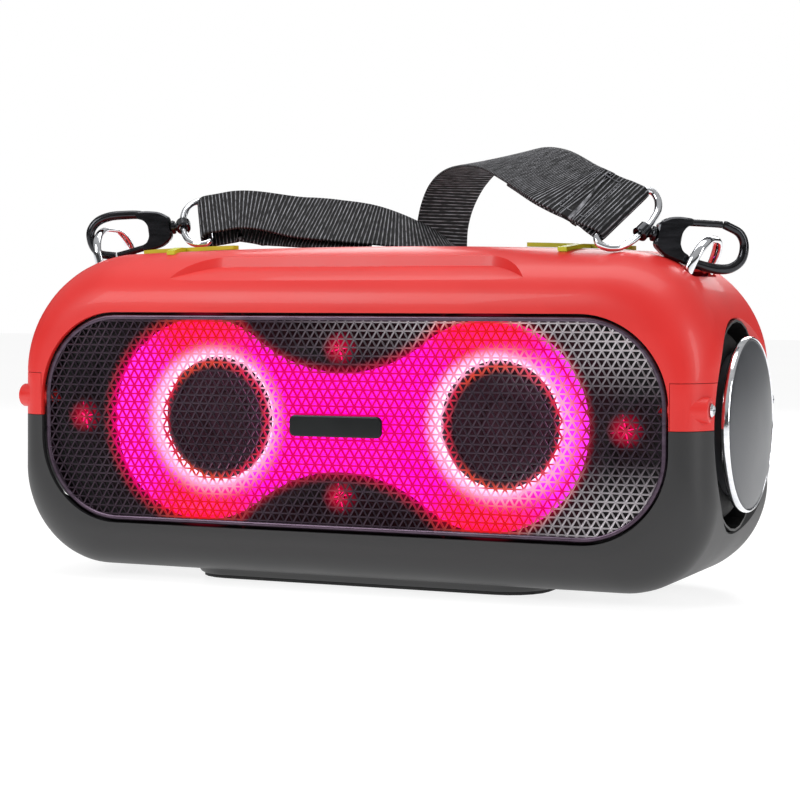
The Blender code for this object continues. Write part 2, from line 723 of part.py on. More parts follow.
def make_swivel(hook, name):
    """Stem that turns in the hook's block, with an eye round the ring's wire."""
    reach = HOOK_LENGTH - 1.5
    stem = ((46.0, 2.1), (48.95, 2.1), (49.0, 3.9), (50.8, 3.9), (50.9, 2.4), (reach, 2.4))
    swivel = add_object(name, hook.round(stem, 12), BLACK)
    along = hook.w
    first = hook.inward
    second = along.cross(first)
    rings, bores = [], []
    for level in (-3.2, 3.2):
        spokes = [first * math.cos(t) + second * math.sin(t) for t in (math.tau * i / 12 for i in range(12))]
        rings.append([hook.apex + along * level + spoke * 4.1 for spoke in spokes])
        bores.append([hook.apex + along * level * 2 + spoke * 2.4 for spoke in spokes])
    join(swivel, mesh_from_rings(rings))
    cut(swivel, mesh_from_rings(bores))


def make_d_ring(hook, name):
    """Ring with a straight bar for the webbing and a bowed side for the swivel; points are (depth, width)."""
    half = [(RING_DEPTH, 0), (RING_DEPTH, 5), (RING_DEPTH - 0.8, 11), (RING_DEPTH - 2.4, 16.5)]
    half += [(RING_DEPTH - 5.5, 20.8), (RING_DEPTH - 9.5, 23), (2.6, 22.8), (0.4, 20.6), (0, 17), (0, 8)]
    flat = half + [(0, 0)] + [(depth, -width) for depth, width in reversed(half[1:])]
    path = [hook.bar + hook.inward * depth + hook.w * width for depth, width in flat]
    normal = hook.w.cross(hook.inward)
    add_object(name, sweep(path, round_section(RING_WIRE), [normal] * len(path), closed=True), CHROME)


# ---------------------------------------------------------------- webbing


# Centre and width direction of the webbing between its two folded ends: over the top, down behind the back
# and up again, then over the arch.
WEBBING_ROUTE = (
    ((-88.0, 26.0, 199.9), (-0.44, 0.71, 0.56)),
    ((-74.0, 30.5, 197.9), (-0.38, 0.73, 0.58)),
    ((-50.0, 34.5, 195.4), (-0.32, 0.74, 0.60)),
    ((-27.0, 40.5, 192.4), (-0.30, 0.77, 0.57)),
    ((-8.0, 51.0, 187.8), (-0.40, 0.80, 0.45)),
    ((9.0, 65.0, 181.0), (-0.60, 0.74, 0.30)),
    ((24.0, 80.0, 168.0), (-0.86, 0.50, 0.08)),
    ((36.0, 90.0, 148.0), (-0.94, 0.34, 0.0)),
    ((43.0, 93.0, 122.0), (-0.80, 0.60, 0.0)),
    ((44.0, 95.0, 92.0), (-0.35, 0.94, 0.0)),
    ((37.0, 95.0, 66.0), (0.0, 1.0, 0.0)),
    ((22.0, 95.0, 55.0), (0.0, 1.0, 0.0)),
    ((7.0, 95.0, 66.0), (0.1, 0.99, 0.0)),
    ((-2.0, 94.0, 92.0), (0.25, 0.97, 0.0)),
    ((-7.0, 92.0, 125.0), (0.36, 0.93, 0.0)),
    ((-8.0, 91.5, 155.0), (0.40, 0.92, 0.0)),
    ((-7.2, 91.0, 180.5), (0.40, 0.92, -0.02)),
    ((-6.6, 91.0, 193.2), (0.42, 0.91, -0.00)),
    ((-2.6, 89.0, 205.2), (0.46, 0.89, 0.01)),
    ((4.7, 85.0, 215.8), (0.52, 0.85, 0.03)),
    ((16.8, 76.5, 223.7), (0.59, 0.80, 0.08)),
    ((34.1, 62.0, 227.8), (0.67, 0.73, 0.17)),
    ((56.7, 39.0, 227.8), (0.72, 0.63, 0.29)),
    ((81.0, 11.0, 221.3), (0.74, 0.53, 0.40)),
    ((107.3, -18.0, 210.4), (0.62, 0.63, 0.47)),
)
FOLD_RADIUS = 4.5
FOLD_LENGTH = 14.0


class Fold:
    """Frame of the webbing's end at a ring: out along the webbing, up away from the body, w along the bar."""

    def __init__(self, side, toward):
        hook = Hook(side)
        self.bar, self.w = hook.bar, hook.w
        out = Vector(toward) - hook.bar
        self.out = (out - hook.w * out.dot(hook.w)).normalized()
        self.up = hook.w.cross(self.out)
        if self.up.z < 0:
            self.up = -self.up

    def at(self, along, rise, across=0.0):
        return self.bar + self.out * along + self.up * rise + self.w * across

    def prism(self, profile, half):
        return mesh_from_rings([[self.at(a, b, c) for a, b in profile] for c in (-half, half)])


def make_webbing():
    left = Fold(-1, (-80.0, 19.5, 193.5))
    right = Fold(1, (113.7, -24.0, 209.0))
    route = [(left.at(FOLD_LENGTH + ahead, FOLD_RADIUS), left.w) for ahead in (GAP, 3, 7)]
    route += WEBBING_ROUTE
    route += [(right.at(FOLD_LENGTH + ahead, 0), right.w) for ahead in (7, 3, GAP)]
    centres = smooth_path([centre for centre, _ in route], 85)
    widths = [Vector(width).normalized() for width in smooth_path([width for _, width in route], 85)]
    half, thick = WEB_WIDTH / 2, WEB_THICKNESS / 2
    section = [(-half, -thick), (half, -thick), (half, thick), (-half, thick)]
    add_object("strap_webbing", sweep(centres, section, widths), FABRIC)

    tail = [left.at(FOLD_LENGTH + ahead, -FOLD_RADIUS) for ahead in (GAP, 3)]
    tail_widths = [left.w, left.w]
    for i, (centre, width) in enumerate(zip(centres[8:18], widths[8:18])):
        under = (centres[i + 9] - centre).cross(width).normalized()
        tail.append(centre - under * math.copysign(9.0 - 0.7 * i, under.z))
        tail_widths.append(width)
    add_object("strap_tail", sweep(tail, section, tail_widths), FABRIC)


def make_left_end():
    """Open fold round the left ring's bar; its two sides carry on as the webbing and its tail."""
    fold = Fold(-1, (-80.0, 19.5, 193.5))
    thick = WEB_THICKNESS / 2
    turns = [math.radians(t) for t in range(90, 271, 20)]
    ring = [(FOLD_LENGTH, FOLD_RADIUS + thick)]
    ring += [((FOLD_RADIUS + thick) * math.cos(t), (FOLD_RADIUS + thick) * math.sin(t)) for t in turns]
    ring += [(FOLD_LENGTH, -FOLD_RADIUS - thick), (FOLD_LENGTH, -FOLD_RADIUS + thick)]
    inner = FOLD_RADIUS - thick
    ring += [(inner * math.cos(t), inner * math.sin(t)) for t in reversed(turns)]
    ring += [(FOLD_LENGTH, FOLD_RADIUS - thick)]
    add_object("left_webbing_end", fold.prism(ring, WEB_WIDTH / 2), FABRIC)


def make_right_end():
    """Sewn fold round the right ring's bar."""
    fold = Fold(1, (113.7, -24.0, 209.0))
    ring = [(FOLD_LENGTH, 1.7), (8, 2.1)]
    ring += [(3.8 * math.cos(math.radians(t)), 3.8 * math.sin(math.radians(t))) for t in range(60, 301, 30)]
    ring += [(8, -2.1), (FOLD_LENGTH, -1.7)]
    end = add_object("right_webbing_end", fold.prism(ring, WEB_WIDTH / 2), FABRIC)
    cut(end, fold.prism(ellipse((0, 0), RING_WIRE + 0.4, RING_WIRE + 0.4, 10), WEB_WIDTH))


def place_pivots():
    """Origins of the moving pieces, each on the axis it moves along or turns about."""
    for name in KEY_NAMES:
        i = KEY_NAMES.index(name)
        pivot(name, (KEY_PITCH * (i - 2), sum(PANEL_Y) / 2, PANEL_TOP))
    pivot("port_door", (DOOR_X, HALF_DEPTH + 0.2, DOOR_Z[0] + 0.4))
    for side, name in ((-1, "left"), (1, "right")):
        hook = Hook(side)
        crown = LOOP_BASE[side] + loop_direction(side) * LOOP_LENGTH[side]
        pivot(f"{name}_cone", (side * DRIVER_X, THROAT_Y, CENTRE_Z))
        for piece in ("radiator_plate", "radiator_trim"):
            pivot(f"{name}_{piece}", (side * PLATE_FACE_X, 0, RADIATOR_Z))
        for piece in ("d_ring", "swivel", "webbing_end"):
            pivot(f"{name}_{piece}", crown)
        pivot(f"{name}_hook", hook.apex)
        pivot(f"{name}_gate", hook.at(46.4, -7.2))


# ---------------------------------------------------------------- assembly

clear_scene()
RED = make_material("red_plastic", (0.80, 0.07, 0.06), 0.42)
GREY = make_material("dark_grey_plastic", (0.055, 0.055, 0.058), 0.5)
BLACK = make_material("black_plastic", (0.012, 0.012, 0.013), 0.45)
RUBBER = make_material("black_rubber", (0.02, 0.02, 0.02), 0.8)
GUNMETAL = make_material("gunmetal_grille", (0.16, 0.12, 0.15), 0.35, 0.9)
CHROME = make_material("chrome", (0.85, 0.86, 0.88), 0.12, 1.0)
GLOW = make_material("light_guide", (0.95, 0.05, 0.55), 0.5)
LIME = make_material("lime_plastic", (0.55, 0.60, 0.02), 0.45)
FABRIC = make_material("webbing", (0.02, 0.02, 0.022), 0.9)
GREEN = make_material("circuit_board", (0.02, 0.16, 0.06), 0.5)
BLUE = make_material("battery_wrap", (0.03, 0.08, 0.30), 0.5)
HELPER = make_material("helper", (0.5, 0.5, 0.5), 0.5)

make_shells()
make_foot_pad()
make_front()
make_top()
make_back()
for side_sign, side_name in ((-1, "left"), (1, "right")):
    make_driver(side_sign, side_name)
    make_radiator(side_sign, side_name)
    make_loop(side_sign, f"{side_name}_strap_loop")
    make_hook(side_sign, side_name)
make_webbing()
make_left_end()
make_right_end()
place_pivots()
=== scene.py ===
"""Looks of the party speaker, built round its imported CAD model. Sizes below are in millimetres."""

import math

import bmesh
import bpy
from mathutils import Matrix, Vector
from mathutils.bvhtree import BVHTree
from mathutils.interpolate import poly_3d_calc


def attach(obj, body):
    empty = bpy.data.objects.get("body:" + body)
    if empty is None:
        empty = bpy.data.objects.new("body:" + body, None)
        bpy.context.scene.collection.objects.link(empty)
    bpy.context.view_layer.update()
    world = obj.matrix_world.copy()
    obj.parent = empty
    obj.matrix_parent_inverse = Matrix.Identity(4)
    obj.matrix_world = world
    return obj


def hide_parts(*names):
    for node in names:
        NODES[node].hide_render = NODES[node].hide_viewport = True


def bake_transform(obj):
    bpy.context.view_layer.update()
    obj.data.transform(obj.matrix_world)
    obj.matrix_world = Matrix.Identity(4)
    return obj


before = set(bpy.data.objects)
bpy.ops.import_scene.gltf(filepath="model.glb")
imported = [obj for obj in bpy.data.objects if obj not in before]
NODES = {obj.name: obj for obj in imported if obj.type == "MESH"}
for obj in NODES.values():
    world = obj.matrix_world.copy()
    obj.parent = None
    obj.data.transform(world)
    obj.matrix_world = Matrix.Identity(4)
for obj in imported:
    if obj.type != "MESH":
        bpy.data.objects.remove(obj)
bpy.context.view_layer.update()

MM = 0.001

# Body
HALF_WIDTH = 196.5
HALF_DEPTH = 68.0
BODY_BOTTOM = 5.0
SHOULDER_Z = 176.0
CROWN = 3.0
TOP_RADIUS = 57.0
BOTTOM_RADIUS = 48.0
WALL = 3.0
SEAM_Z = 87.8
BELT_Z = 110.8
SEAM = 0.3

# Front
CENTRE_Z = 87.3
OPENING_HALF_WIDTH = 177.6
OPENING_HALF_HEIGHT = 56.8
OPENING_RADIUS = 46.0
LIP = 2.0
GRILLE_FRONT = -66.0
RIM_WIDTH = 2.6
RIM_GAP = 1.4
CELL_SIDE = 5.02
WIRE_HALF = 0.46
# How far right the painted glow on the grille's wires is moved from each driver's axis.
WIRE_SHIFT = 10.5
BAFFLE_FRONT = -60.0
DRIVER_X = 81.2
RING_RADIUS = 53.7
THROAT_RADIUS = 32.9
THROAT_Y = -44.0
WAIST_HALF = 25.7
LED_SPOTS = ((-154, 0), (154, 0), (0, 38), (0, -38))

# Ends
RECESS_HALF_DEPTH = 47.0
RECESS_HALF_HEIGHT = 54.0
PLATE_RADIUS = 44.5
PLATE_FACE_X = 200.8
PLATE_DOME = 3.6
RADIATOR_Z = 88.0
LUG_RADIUS = 6.3
LUG_Y = 57.8
LUG_Z = 97.9
LUG_END_X = 195.6
CLAMP_INNER_X = 178.2

# Bottom, top and back
FOOT_HALF_LENGTH = 104.0
FOOT_HALF_DEPTH = 46.0
PANEL_HALF_LENGTH = 52.0
PANEL_Y = (-4.0, 28.0)
PANEL_TOP = 178.0
KEY_PITCH = 19.0
DOOR_X = -76.0
DOOR_Z = (60.0, 104.0)

# Strap
LOOP_HALF_SPAN = 19.0
LOOP_LENGTH = {-1: 31.0, 1: 28.5}
LOOP_BASE = {-1: Vector((-168.0, 0, 160.0)), 1: Vector((168.0, 0, 155.5))}
LOOP_LEAN = {-1: math.radians(14), 1: math.radians(25)}
RING_BAR = {-1: Vector((-119.0, 14.0, 195.2)), 1: Vector((139.5, -26.0, 194.4))}
HOOK_TIP = {-1: Vector((-183.0, -12.0, 184.6)), 1: Vector((194.5, 4.0, 175.0))}
RING_LEAN = {-1: Vector((-0.45, 0.70, 0.55)), 1: Vector((0.37, 0.73, 0.58))}
HOOK_LENGTH = 55.5
RING_DEPTH = 14.5
RING_WIRE = 1.9
WEB_HALF = 20.0
WEB_THICKNESS = 1.6
RIB_PITCH = 2.1
FOLD_RADIUS = 4.5
FOLD_LENGTH = 14.0

# Camera: its lens in millimetres, its angles, and its place in metres
CAMERA_LENS = 95.1
CAMERA_TURN = math.radians(24.0)
CAMERA_DROP = math.radians(2.86)
CAMERA_SPOT = Vector((0.47123, -1.04355, 0.15352))


# ---------------------------------------------------------------- mesh helpers


def shade(mesh, angle):
    """Smooth shading that keeps the edges sharper than angle, in degrees."""
    mesh.shade_smooth()
    mesh.set_sharp_from_angle(angle=math.radians(angle))


def new_item(name, data):
    item = bpy.data.objects.new(name, data)
    bpy.context.scene.collection.objects.link(item)
    return item


def add_object(name, mesh, material, angle=35):
    item = new_item(name, mesh)
    if material:
        mesh.materials.clear()
        mesh.materials.append(material)
    shade(mesh, angle)
    return item


def settle(item, nodes=(), body="body"):
    """Hides the CAD nodes a piece stands for and hangs it on the empty of the body it moves with."""
    if nodes:
        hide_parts(*nodes)
    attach(item, body)
    return item


def piece(name, mesh, material, nodes=(), body="body", angle=35):
    return settle(add_object(name, mesh, material, angle), nodes, body)


def mesh_of(work):
    bmesh.ops.recalc_face_normals(work, faces=work.faces)
    mesh = bpy.data.meshes.new("piece")
    work.to_mesh(mesh)
    work.free()
    return mesh


def mesh_from_rings(rings, closed=False):
    """Skins rings of equal point counts, in millimetres. Open ends are capped; closed joins last to first."""
    work = bmesh.new()
    loops = [[work.verts.new(Vector(point) * MM) for point in ring] for ring in rings]
    count = len(rings[0])
    pairs = list(zip(loops, loops[1:]))
    if closed:
        pairs.append((loops[-1], loops[0]))
    for low, high in pairs:
        for i in range(count):
            j = (i + 1) % count
            work.faces.new((low[i], low[j], high[j], high[i]))
    if not closed:
        work.faces.new(loops[0])
        work.faces.new(loops[-1])
    return mesh_of(work)


def prism(outline, axis, low, high):
    def spot(pair, level):
        point = list(pair)
        point.insert("XYZ".index(axis), level)
        return point

    return mesh_from_rings([[spot(pair, level) for pair in outline] for level in (low, high)])


def circle_point(axis, along, radius, angle):
    a, b = radius * math.cos(angle), radius * math.sin(angle)
    return {"X": (along, a, b), "Y": (a, along, b), "Z": (a, b, along)}[axis]


def turned(profile, axis, centre, steps=96):
    """Turns a closed profile of (along, radius) about an axis through centre."""
    rings = []
    for i in range(steps):
        spots = (circle_point(axis, along, radius, math.tau * i / steps) for along, radius in profile)
        rings.append([[c + o for c, o in zip(centre, spot)] for spot in spots])
    return mesh_from_rings(rings, closed=True)


def disc_of(profile, axis, centre, steps=64):
    """A turned solid that reaches its axis: profile of (along, radius) from one end to the other."""
    rings = []
    for along, radius in profile:
        spots = (circle_point(axis, along, radius, math.tau * i / steps) for i in range(steps))
        rings.append([[c + o for c, o in zip(centre, spot)] for spot in spots])
    return mesh_from_rings(rings)


def box(low, high):
    outline = [(low[0], low[1]), (high[0], low[1]), (high[0], high[1]), (low[0], high[1])]
    return prism(outline, "Z", low[2], high[2])


def arc(a, b, radius, start, steps):
    """Quarter circle about (a, b), from start degrees on."""
    angles = [math.radians(start + 90 * i / steps) for i in range(steps + 1)]
    return [(a + radius * math.cos(t), b + radius * math.sin(t)) for t in angles]


def ellipse(centre, half_a, half_b, steps=96):
    angles = [math.tau * i / steps for i in range(steps)]
    return [(centre[0] + half_a * math.cos(t), centre[1] + half_b * math.sin(t)) for t in angles]


def rounded_box(low, high, radius, steps=8):
    points = []
    corners = ((high[0], high[1], 0), (low[0], high[1], 90), (low[0], low[1], 180), (high[0], low[1], 270))
    for x, y, start in corners:
        cx = x - math.copysign(radius, x - (low[0] + high[0]) / 2)
        cy = y - math.copysign(radius, y - (low[1] + high[1]) / 2)
        points += arc(cx, cy, radius, start, steps)
    return points


def modify(item, mesh, operation):
    """Cuts, keeps or joins with another mesh, and applies it."""
    helper = add_object("helper", mesh, None)
    boolean = item.modifiers.new("shape", "BOOLEAN")
    boolean.operation = operation
    boolean.object = helper
    boolean.solver = "EXACT"
    apply_modifiers(item)
    bpy.data.objects.remove(helper, do_unlink=True)


def apply_modifiers(item):
    graph = bpy.context.evaluated_depsgraph_get()
    mesh = bpy.data.meshes.new_from_object(item.evaluated_get(graph))
    item.modifiers.clear()
    item.data = mesh


def smooth_path(points, count, closed=False):
    """Points spread along a Catmull-Rom curve through the given ones."""
    knots = [Vector(p) for p in points]
    total = len(knots) if closed else len(knots) - 1
    path = []
    for i in range(count):
        place = total * i / (count if closed else count - 1)
        k = min(int(place), total - 1)
        t = place - k
        if closed:
            a, b, c, d = (knots[(k + n) % len(knots)] for n in (-1, 0, 1, 2))
        else:
            a, b, c, d = (knots[min(max(k + n, 0), total)] for n in (-1, 0, 1, 2))
        path.append(
            0.5 * (2 * b + (c - a) * t + (2 * a - 5 * b + 4 * c - d) * t**2 + (3 * b - a - 3 * c + d) * t**3)
        )
    return path


def even_path(path, widths, step):
    """The same path at even steps of its length, with the width directions that go with it."""
    reach = [0.0]
    for a, b in zip(path, path[1:]):
        reach.append(reach[-1] + (b - a).length)
    count = max(2, round(reach[-1] / step))
    points, across, k = [], [], 0
    for i in range(count + 1):
        target = reach[-1] * i / count
        while k < len(reach) - 2 and reach[k + 1] < target:
            k += 1
        t = (target - reach[k]) / (reach[k + 1] - reach[k])
        points.append(path[k].lerp(path[k + 1], t))
        across.append(widths[k].lerp(widths[k + 1], t).normalized())
    return points, across, reach[-1]


def sweep(path, sections, widths, closed=False):
    """Sweeps a section outline along a path. sections is one outline, or one for each point."""
    rings = []
    last = len(path) - 1
    for i, point in enumerate(path):
        before = path[i - 1] if i or closed else path[0]
        after = path[(i + 1) % len(path)] if i < last or closed else path[last]
        along = (after - before).normalized()
        across = (widths[i] - along * widths[i].dot(along)).normalized()
        normal = along.cross(across)
        section = sections[i] if isinstance(sections[0], list) else sections
        rings.append([point + across * a + normal * b for a, b in section])
    return mesh_from_rings(rings, closed)


def round_section(a, b=None, sides=20):
    angles = [math.tau * i / sides for i in range(sides)]
    return tuple((a * math.cos(t), (b or a) * math.sin(t)) for t in angles)


def soften(item, width, segments=3, angle=30):
    """Rounds the edges that a moulded or machined piece has."""
    bevel = item.modifiers.new("edge", "BEVEL")
    bevel.width = width * MM
    bevel.segments = segments
    bevel.limit_method = "ANGLE"
    bevel.angle_limit = math.radians(angle)
    bevel.harden_normals = True
    return item


# ---------------------------------------------------------------- materials


def srgb(r, g, b):
    return tuple(((c / 255 + 0.055) / 1.055) ** 2.4 if c > 10 else c / 255 / 12.92 for c in (r, g, b))


def opaque(r, g, b):
    return (*srgb(r, g, b), 1)


class Finish:
    """A procedural material: colour that varies a little, roughness that varies with it, and a fine bump."""

    def __init__(self, name, dark, light, size, rough, bump=0.1, grain=0.4, stretch=(1, 1, 1), **sockets):
        self.material = bpy.data.materials.new(name)
        self.material.use_nodes = True
        self.tree = self.material.node_tree
        self.shader = self.tree.nodes["Principled BSDF"]
        for socket, value in sockets.items():
            self.shader.inputs[socket.replace("_", " ")].default_value = value
        place = self.add("ShaderNodeTexCoord")
        self.place = place.outputs["Object"]
        mapping = self.add("ShaderNodeMapping")
        mapping.inputs["Scale"].default_value = stretch
        self.link(self.place, mapping.inputs["Vector"])
        self.mapped = mapping.outputs["Vector"]
        patches = self.noise(self.mapped, 1000 / size, 4)
        self.colour = self.mix(self.range(patches, 0.3, 0.7, 0, 1), (*dark, 1), (*light, 1))
        self.link(self.colour, self.shader.inputs["Base Color"])
        self.link(self.range(patches, 0.3, 0.7, *rough), self.shader.inputs["Roughness"])
        self.fine = self.noise(self.mapped, 1000 / grain, 3)
        self.bump(self.fine, bump, 0.05)

    def add(self, kind, **values):
        node = self.tree.nodes.new(kind)
        for key, value in values.items():
            setattr(node, key, value)
        return node

    def link(self, start, end):
        self.tree.links.new(start, end)

    def noise(self, vector, scale, detail):
        node = self.add("ShaderNodeTexNoise")
        node.inputs["Scale"].default_value = scale
        node.inputs["Detail"].default_value = detail
        self.link(vector, node.inputs["Vector"])
        return node.outputs["Fac"]

    def range(self, value, low, high, new_low, new_high, smooth=False):
        node = self.add("ShaderNodeMapRange", interpolation_type="SMOOTHSTEP" if smooth else "LINEAR")
        for i, number in enumerate((low, high, new_low, new_high), 1):
            node.inputs[i].default_value = number
        self.link(value, node.inputs[0])
        return node.outputs[0]

    def mix(self, factor, first, second):
        node = self.add("ShaderNodeMix", data_type="RGBA")
        self.link(factor, node.inputs[0])
        for value, socket in ((first, node.inputs[6]), (second, node.inputs[7])):
            if isinstance(value, tuple):
                socket.default_value = value
            else:
                self.link(value, socket)
        return node.outputs[2]

    def math(self, operation, *values):
        node = self.add("ShaderNodeMath", operation=operation)
        for value, socket in zip(values, node.inputs):
            if isinstance(value, (int, float)):
                socket.default_value = value
            else:
                self.link(value, socket)
        return node.outputs[0]

    def times(self, first, second):
        return self.math("MULTIPLY", first, second)

    def most(self, first, second):
        return self.math("MAXIMUM", first, second)

    def step(self, value, low, high, top=1):
        """Rises smoothly from 0 at low to top at high."""
        return self.range(value, low, high, 0, top, True)

    def axes(self):
        node = self.add("ShaderNodeSeparateXYZ")
        self.link(self.place, node.inputs[0])
        return node.outputs

    def bump(self, height, strength, distance):
        """Adds a bump over the one that is there. distance is in millimetres."""
        node = self.add("ShaderNodeBump")
        node.inputs["Strength"].default_value = strength
        node.inputs["Distance"].default_value = distance * MM
        self.link(height, node.inputs["Height"])
        links = self.shader.inputs["Normal"].links
        if links:
            self.link(links[0].from_socket, node.inputs["Normal"])
        self.link(node.outputs["Normal"], self.shader.inputs["Normal"])

    def glow(self, colour, strength):
        if isinstance(colour, tuple):
            self.shader.inputs["Emission Color"].default_value = colour
        else:
            self.link(colour, self.shader.inputs["Emission Color"])
        if isinstance(strength, (int, float)):
            self.shader.inputs["Emission Strength"].default_value = strength
        else:
            self.link(strength, self.shader.inputs["Emission Strength"])

    def distance_to(self, x, z, mirrored=False):
        """Distance in the front view, in millimetres, from a point, or from it and its mirror image."""
        axes = self.axes()
        across = self.math("ABSOLUTE", axes[0]) if mirrored else axes[0]
        dx = self.math("SUBTRACT", across, x * MM)
        dz = self.math("SUBTRACT", axes[2], z * MM)
        square = self.math("ADD", self.times(dx, dx), self.times(dz, dz))
        return self.times(self.math("SQRT", square), 1000), dx, dz


def driver_distance(finish, shift):
    """Distance in the front view from the nearer driver's axis, both moved right by shift, in millimetres."""
    left, right = (finish.distance_to(side * DRIVER_X + shift, CENTRE_Z)[0] for side in (-1, 1))
    return finish.math("MINIMUM", left, right)


def led_glow(finish, reach):
    """1 at each indicator lamp, falling to 0 at reach."""
    total = None
    for x, z in LED_SPOTS:
        near = finish.step(finish.distance_to(x, CENTRE_Z + z)[0], reach, 0)
        total = near if total is None else finish.most(total, near)
    return total


def guide_reach(finish):
    """Distance out from the dog bone of the light guide, in millimetres, below 0 inside it."""
    ring = finish.math("SUBTRACT", finish.distance_to(DRIVER_X, CENTRE_Z, True)[0], RING_RADIUS)
    bend = (DRIVER_X**2 + WAIST_HALF**2 - RING_RADIUS**2) / (2 * (RING_RADIUS - WAIST_HALF))
    axes = finish.axes()
    rise = finish.math("ABSOLUTE", finish.math("SUBTRACT", axes[2], CENTRE_Z * MM))
    dz = finish.math("SUBTRACT", rise, (WAIST_HALF + bend) * MM)
    square = finish.math("ADD", finish.times(axes[0], axes[0]), finish.times(dz, dz))
    waist = finish.math("SUBTRACT", bend, finish.times(finish.math("SQRT", square), 1000))
    span = 60 * MM
    outside = finish.range(finish.math("ABSOLUTE", axes[0]), span - 0.002, span, 0, 200)
    return finish.math("MINIMUM", ring, finish.math("ADD", waist, outside))


MAGENTA = opaque(255, 0, 205)
VIOLET = opaque(235, 60, 250)
SCARLET = opaque(255, 12, 40)
GLARE = (1.0, 0.66, 0.84, 1)


def poles_of(finish, least, outer, inner):
    """1 over and under each driver, where the light is scarlet, with the distance from its axis."""
    away, dx, dz = finish.distance_to(DRIVER_X, CENTRE_Z, True)
    upright = finish.math("DIVIDE", finish.times(finish.math("ABSOLUTE", dz), 1000), away)
    near = finish.range(away, outer, inner, 0, 1)
    return finish.times(finish.step(upright, least, 0.98), near), away, dx


def make_glow():
    """Acrylic lit from within: magenta, scarlet over and under each driver, and glaring at the throat."""
    finish = Finish("lit_acrylic", srgb(250, 20, 190), srgb(255, 60, 210), 6, (0.25, 0.4), 0.1)
    poles, away, dx = poles_of(finish, 0.68, 62, 52)
    outer = finish.step(dx, 0.012, 0.05, 0.75)
    body = finish.mix(outer, MAGENTA, VIOLET)
    body = finish.mix(poles, body, SCARLET)
    throat = finish.step(away, 40.0, 32.5)
    colour = finish.mix(throat, body, GLARE)
    finish.glow(colour, finish.range(throat, 0, 1, 1.0, 1.7))
    return finish.material


def make_wire():
    """Coated grille metal, with painted highlights at the right corners and along the top, and a painted glow
    where the light guide shines on its wires.
    """
    finish = Finish("grille_metal", srgb(58, 47, 57), srgb(76, 64, 74), 30, (0.3, 0.42), 0.1, Metallic=0.9)
    axes = finish.axes()
    rise = finish.math("ABSOLUTE", finish.math("SUBTRACT", axes[2], CENTRE_Z * MM))
    # Painted highlight: the wires turn towards silver at the right corners and along the top.
    corner = finish.times(finish.step(axes[0], 0.07, 0.165), finish.step(rise, 0.012, 0.045))
    top = finish.times(finish.step(axes[0], -0.05, 0.08, 0.8), finish.step(axes[2], 0.118, 0.140))
    painted_highlight = finish.most(corner, top)
    base = finish.mix(painted_highlight, finish.colour, opaque(205, 200, 204))
    # Painted light from the guide: the wires' colour turns dark red over it, and they glow over it, in a halo
    # round it, in rings about each driver's throat and near the lamps.
    reach = guide_reach(finish)
    inside = finish.step(reach, 2.5, -2.0)
    throat = driver_distance(finish, WIRE_SHIFT)
    driver = finish.step(throat, 30.2, 33.0)
    lip = finish.times(finish.step(throat, 26.5, 30.2, 0.6), finish.step(throat, 35.5, 32.5))
    over = finish.times(inside, driver)
    halo = finish.times(finish.step(reach, 6, 0, 0.34), driver)
    lamps = finish.times(led_glow(finish, 9.5), 0.4)
    finish.link(finish.mix(over, base, opaque(96, 0, 40)), finish.shader.inputs["Base Color"])
    poles = poles_of(finish, 0.72, 64, 56)[0]
    lit = finish.mix(poles, opaque(255, 0, 120), opaque(255, 30, 16))
    band = finish.times(finish.step(throat, 44, 34), finish.step(throat, 30.6, 32.5))
    lit = finish.mix(band, lit, opaque(255, 170, 205))
    strength = finish.times(over, finish.range(band, 0, 1, 0.66, 1.0))
    strength = finish.most(finish.most(strength, lip), finish.most(halo, lamps))
    edge = finish.mix(poles, opaque(255, 0, 60), opaque(255, 70, 20))
    finish.glow(finish.mix(over, edge, lit), strength)
    return finish.material


def make_baffle():
    """Black sheet behind the grille, with a painted red glow near the lamps and along the edge of the light
    guide.
    """
    finish = Finish("baffle_black", srgb(14, 12, 14), srgb(24, 20, 24), 8, (0.5, 0.7), 0.3)
    # Painted light: the sheet glows red near the lamps and along the edge of the light guide.
    edge = finish.range(guide_reach(finish), 5, 0, 0, 0.16, True)
    strength = finish.most(finish.times(led_glow(finish, 11), 0.5), edge)
    finish.glow(opaque(255, 0, 70), strength)
    return finish.material


def make_webbing_finish(name, ribbed):
    """Woven black polyester in crosswise ribs, with a painted grey sheen on the rib crests and single yarns
    that vary.
    """
    finish = Finish(name, srgb(9, 9, 10), srgb(16, 16, 18), 3, (0.6, 0.8), 0.2, Specular_IOR_Level=0.25)
    layout = finish.add("ShaderNodeUVMap", uv_map="weave")
    parts = finish.add("ShaderNodeSeparateXYZ")
    finish.link(layout.outputs[0], parts.inputs[0])
    along, across = parts.outputs[0], parts.outputs[1]
    if ribbed:
        rib = finish.math("SINE", finish.times(along, math.tau * 1000 / RIB_PITCH))
        stretched = finish.add("ShaderNodeCombineXYZ")
        finish.link(finish.times(along, 1400), stretched.inputs[0])
        finish.link(finish.times(across, 160), stretched.inputs[1])
        yarns = finish.noise(stretched.outputs[0], 1.0, 2)
        # Painted sheen: the crests of the ribs turn light grey, more on some yarns than on others.
        lit = finish.times(finish.step(rib, 0.45, 0.98), finish.range(yarns, 0.35, 0.62, 0.1, 1))
        twill = finish.math("SINE", finish.times(across, math.tau * 1000 / 0.9))
        lit = finish.times(lit, finish.range(twill, -1, 1, 0.55, 1))
        colour = finish.mix(lit, finish.colour, opaque(168, 168, 174))
        finish.link(colour, finish.shader.inputs["Base Color"])
        finish.bump(twill, 0.5, 0.08)
    return finish.material


def plain(name, dark, light, *spread, **sockets):
    return Finish(name, srgb(*dark), srgb(*light), *spread, **sockets).material


def brushed(name, dark, light, rough, metallic=1.0, **sockets):
    return plain(name, dark, light, 12, rough, 0.05, 0.25, (1, 1, 6), Metallic=metallic, **sockets)


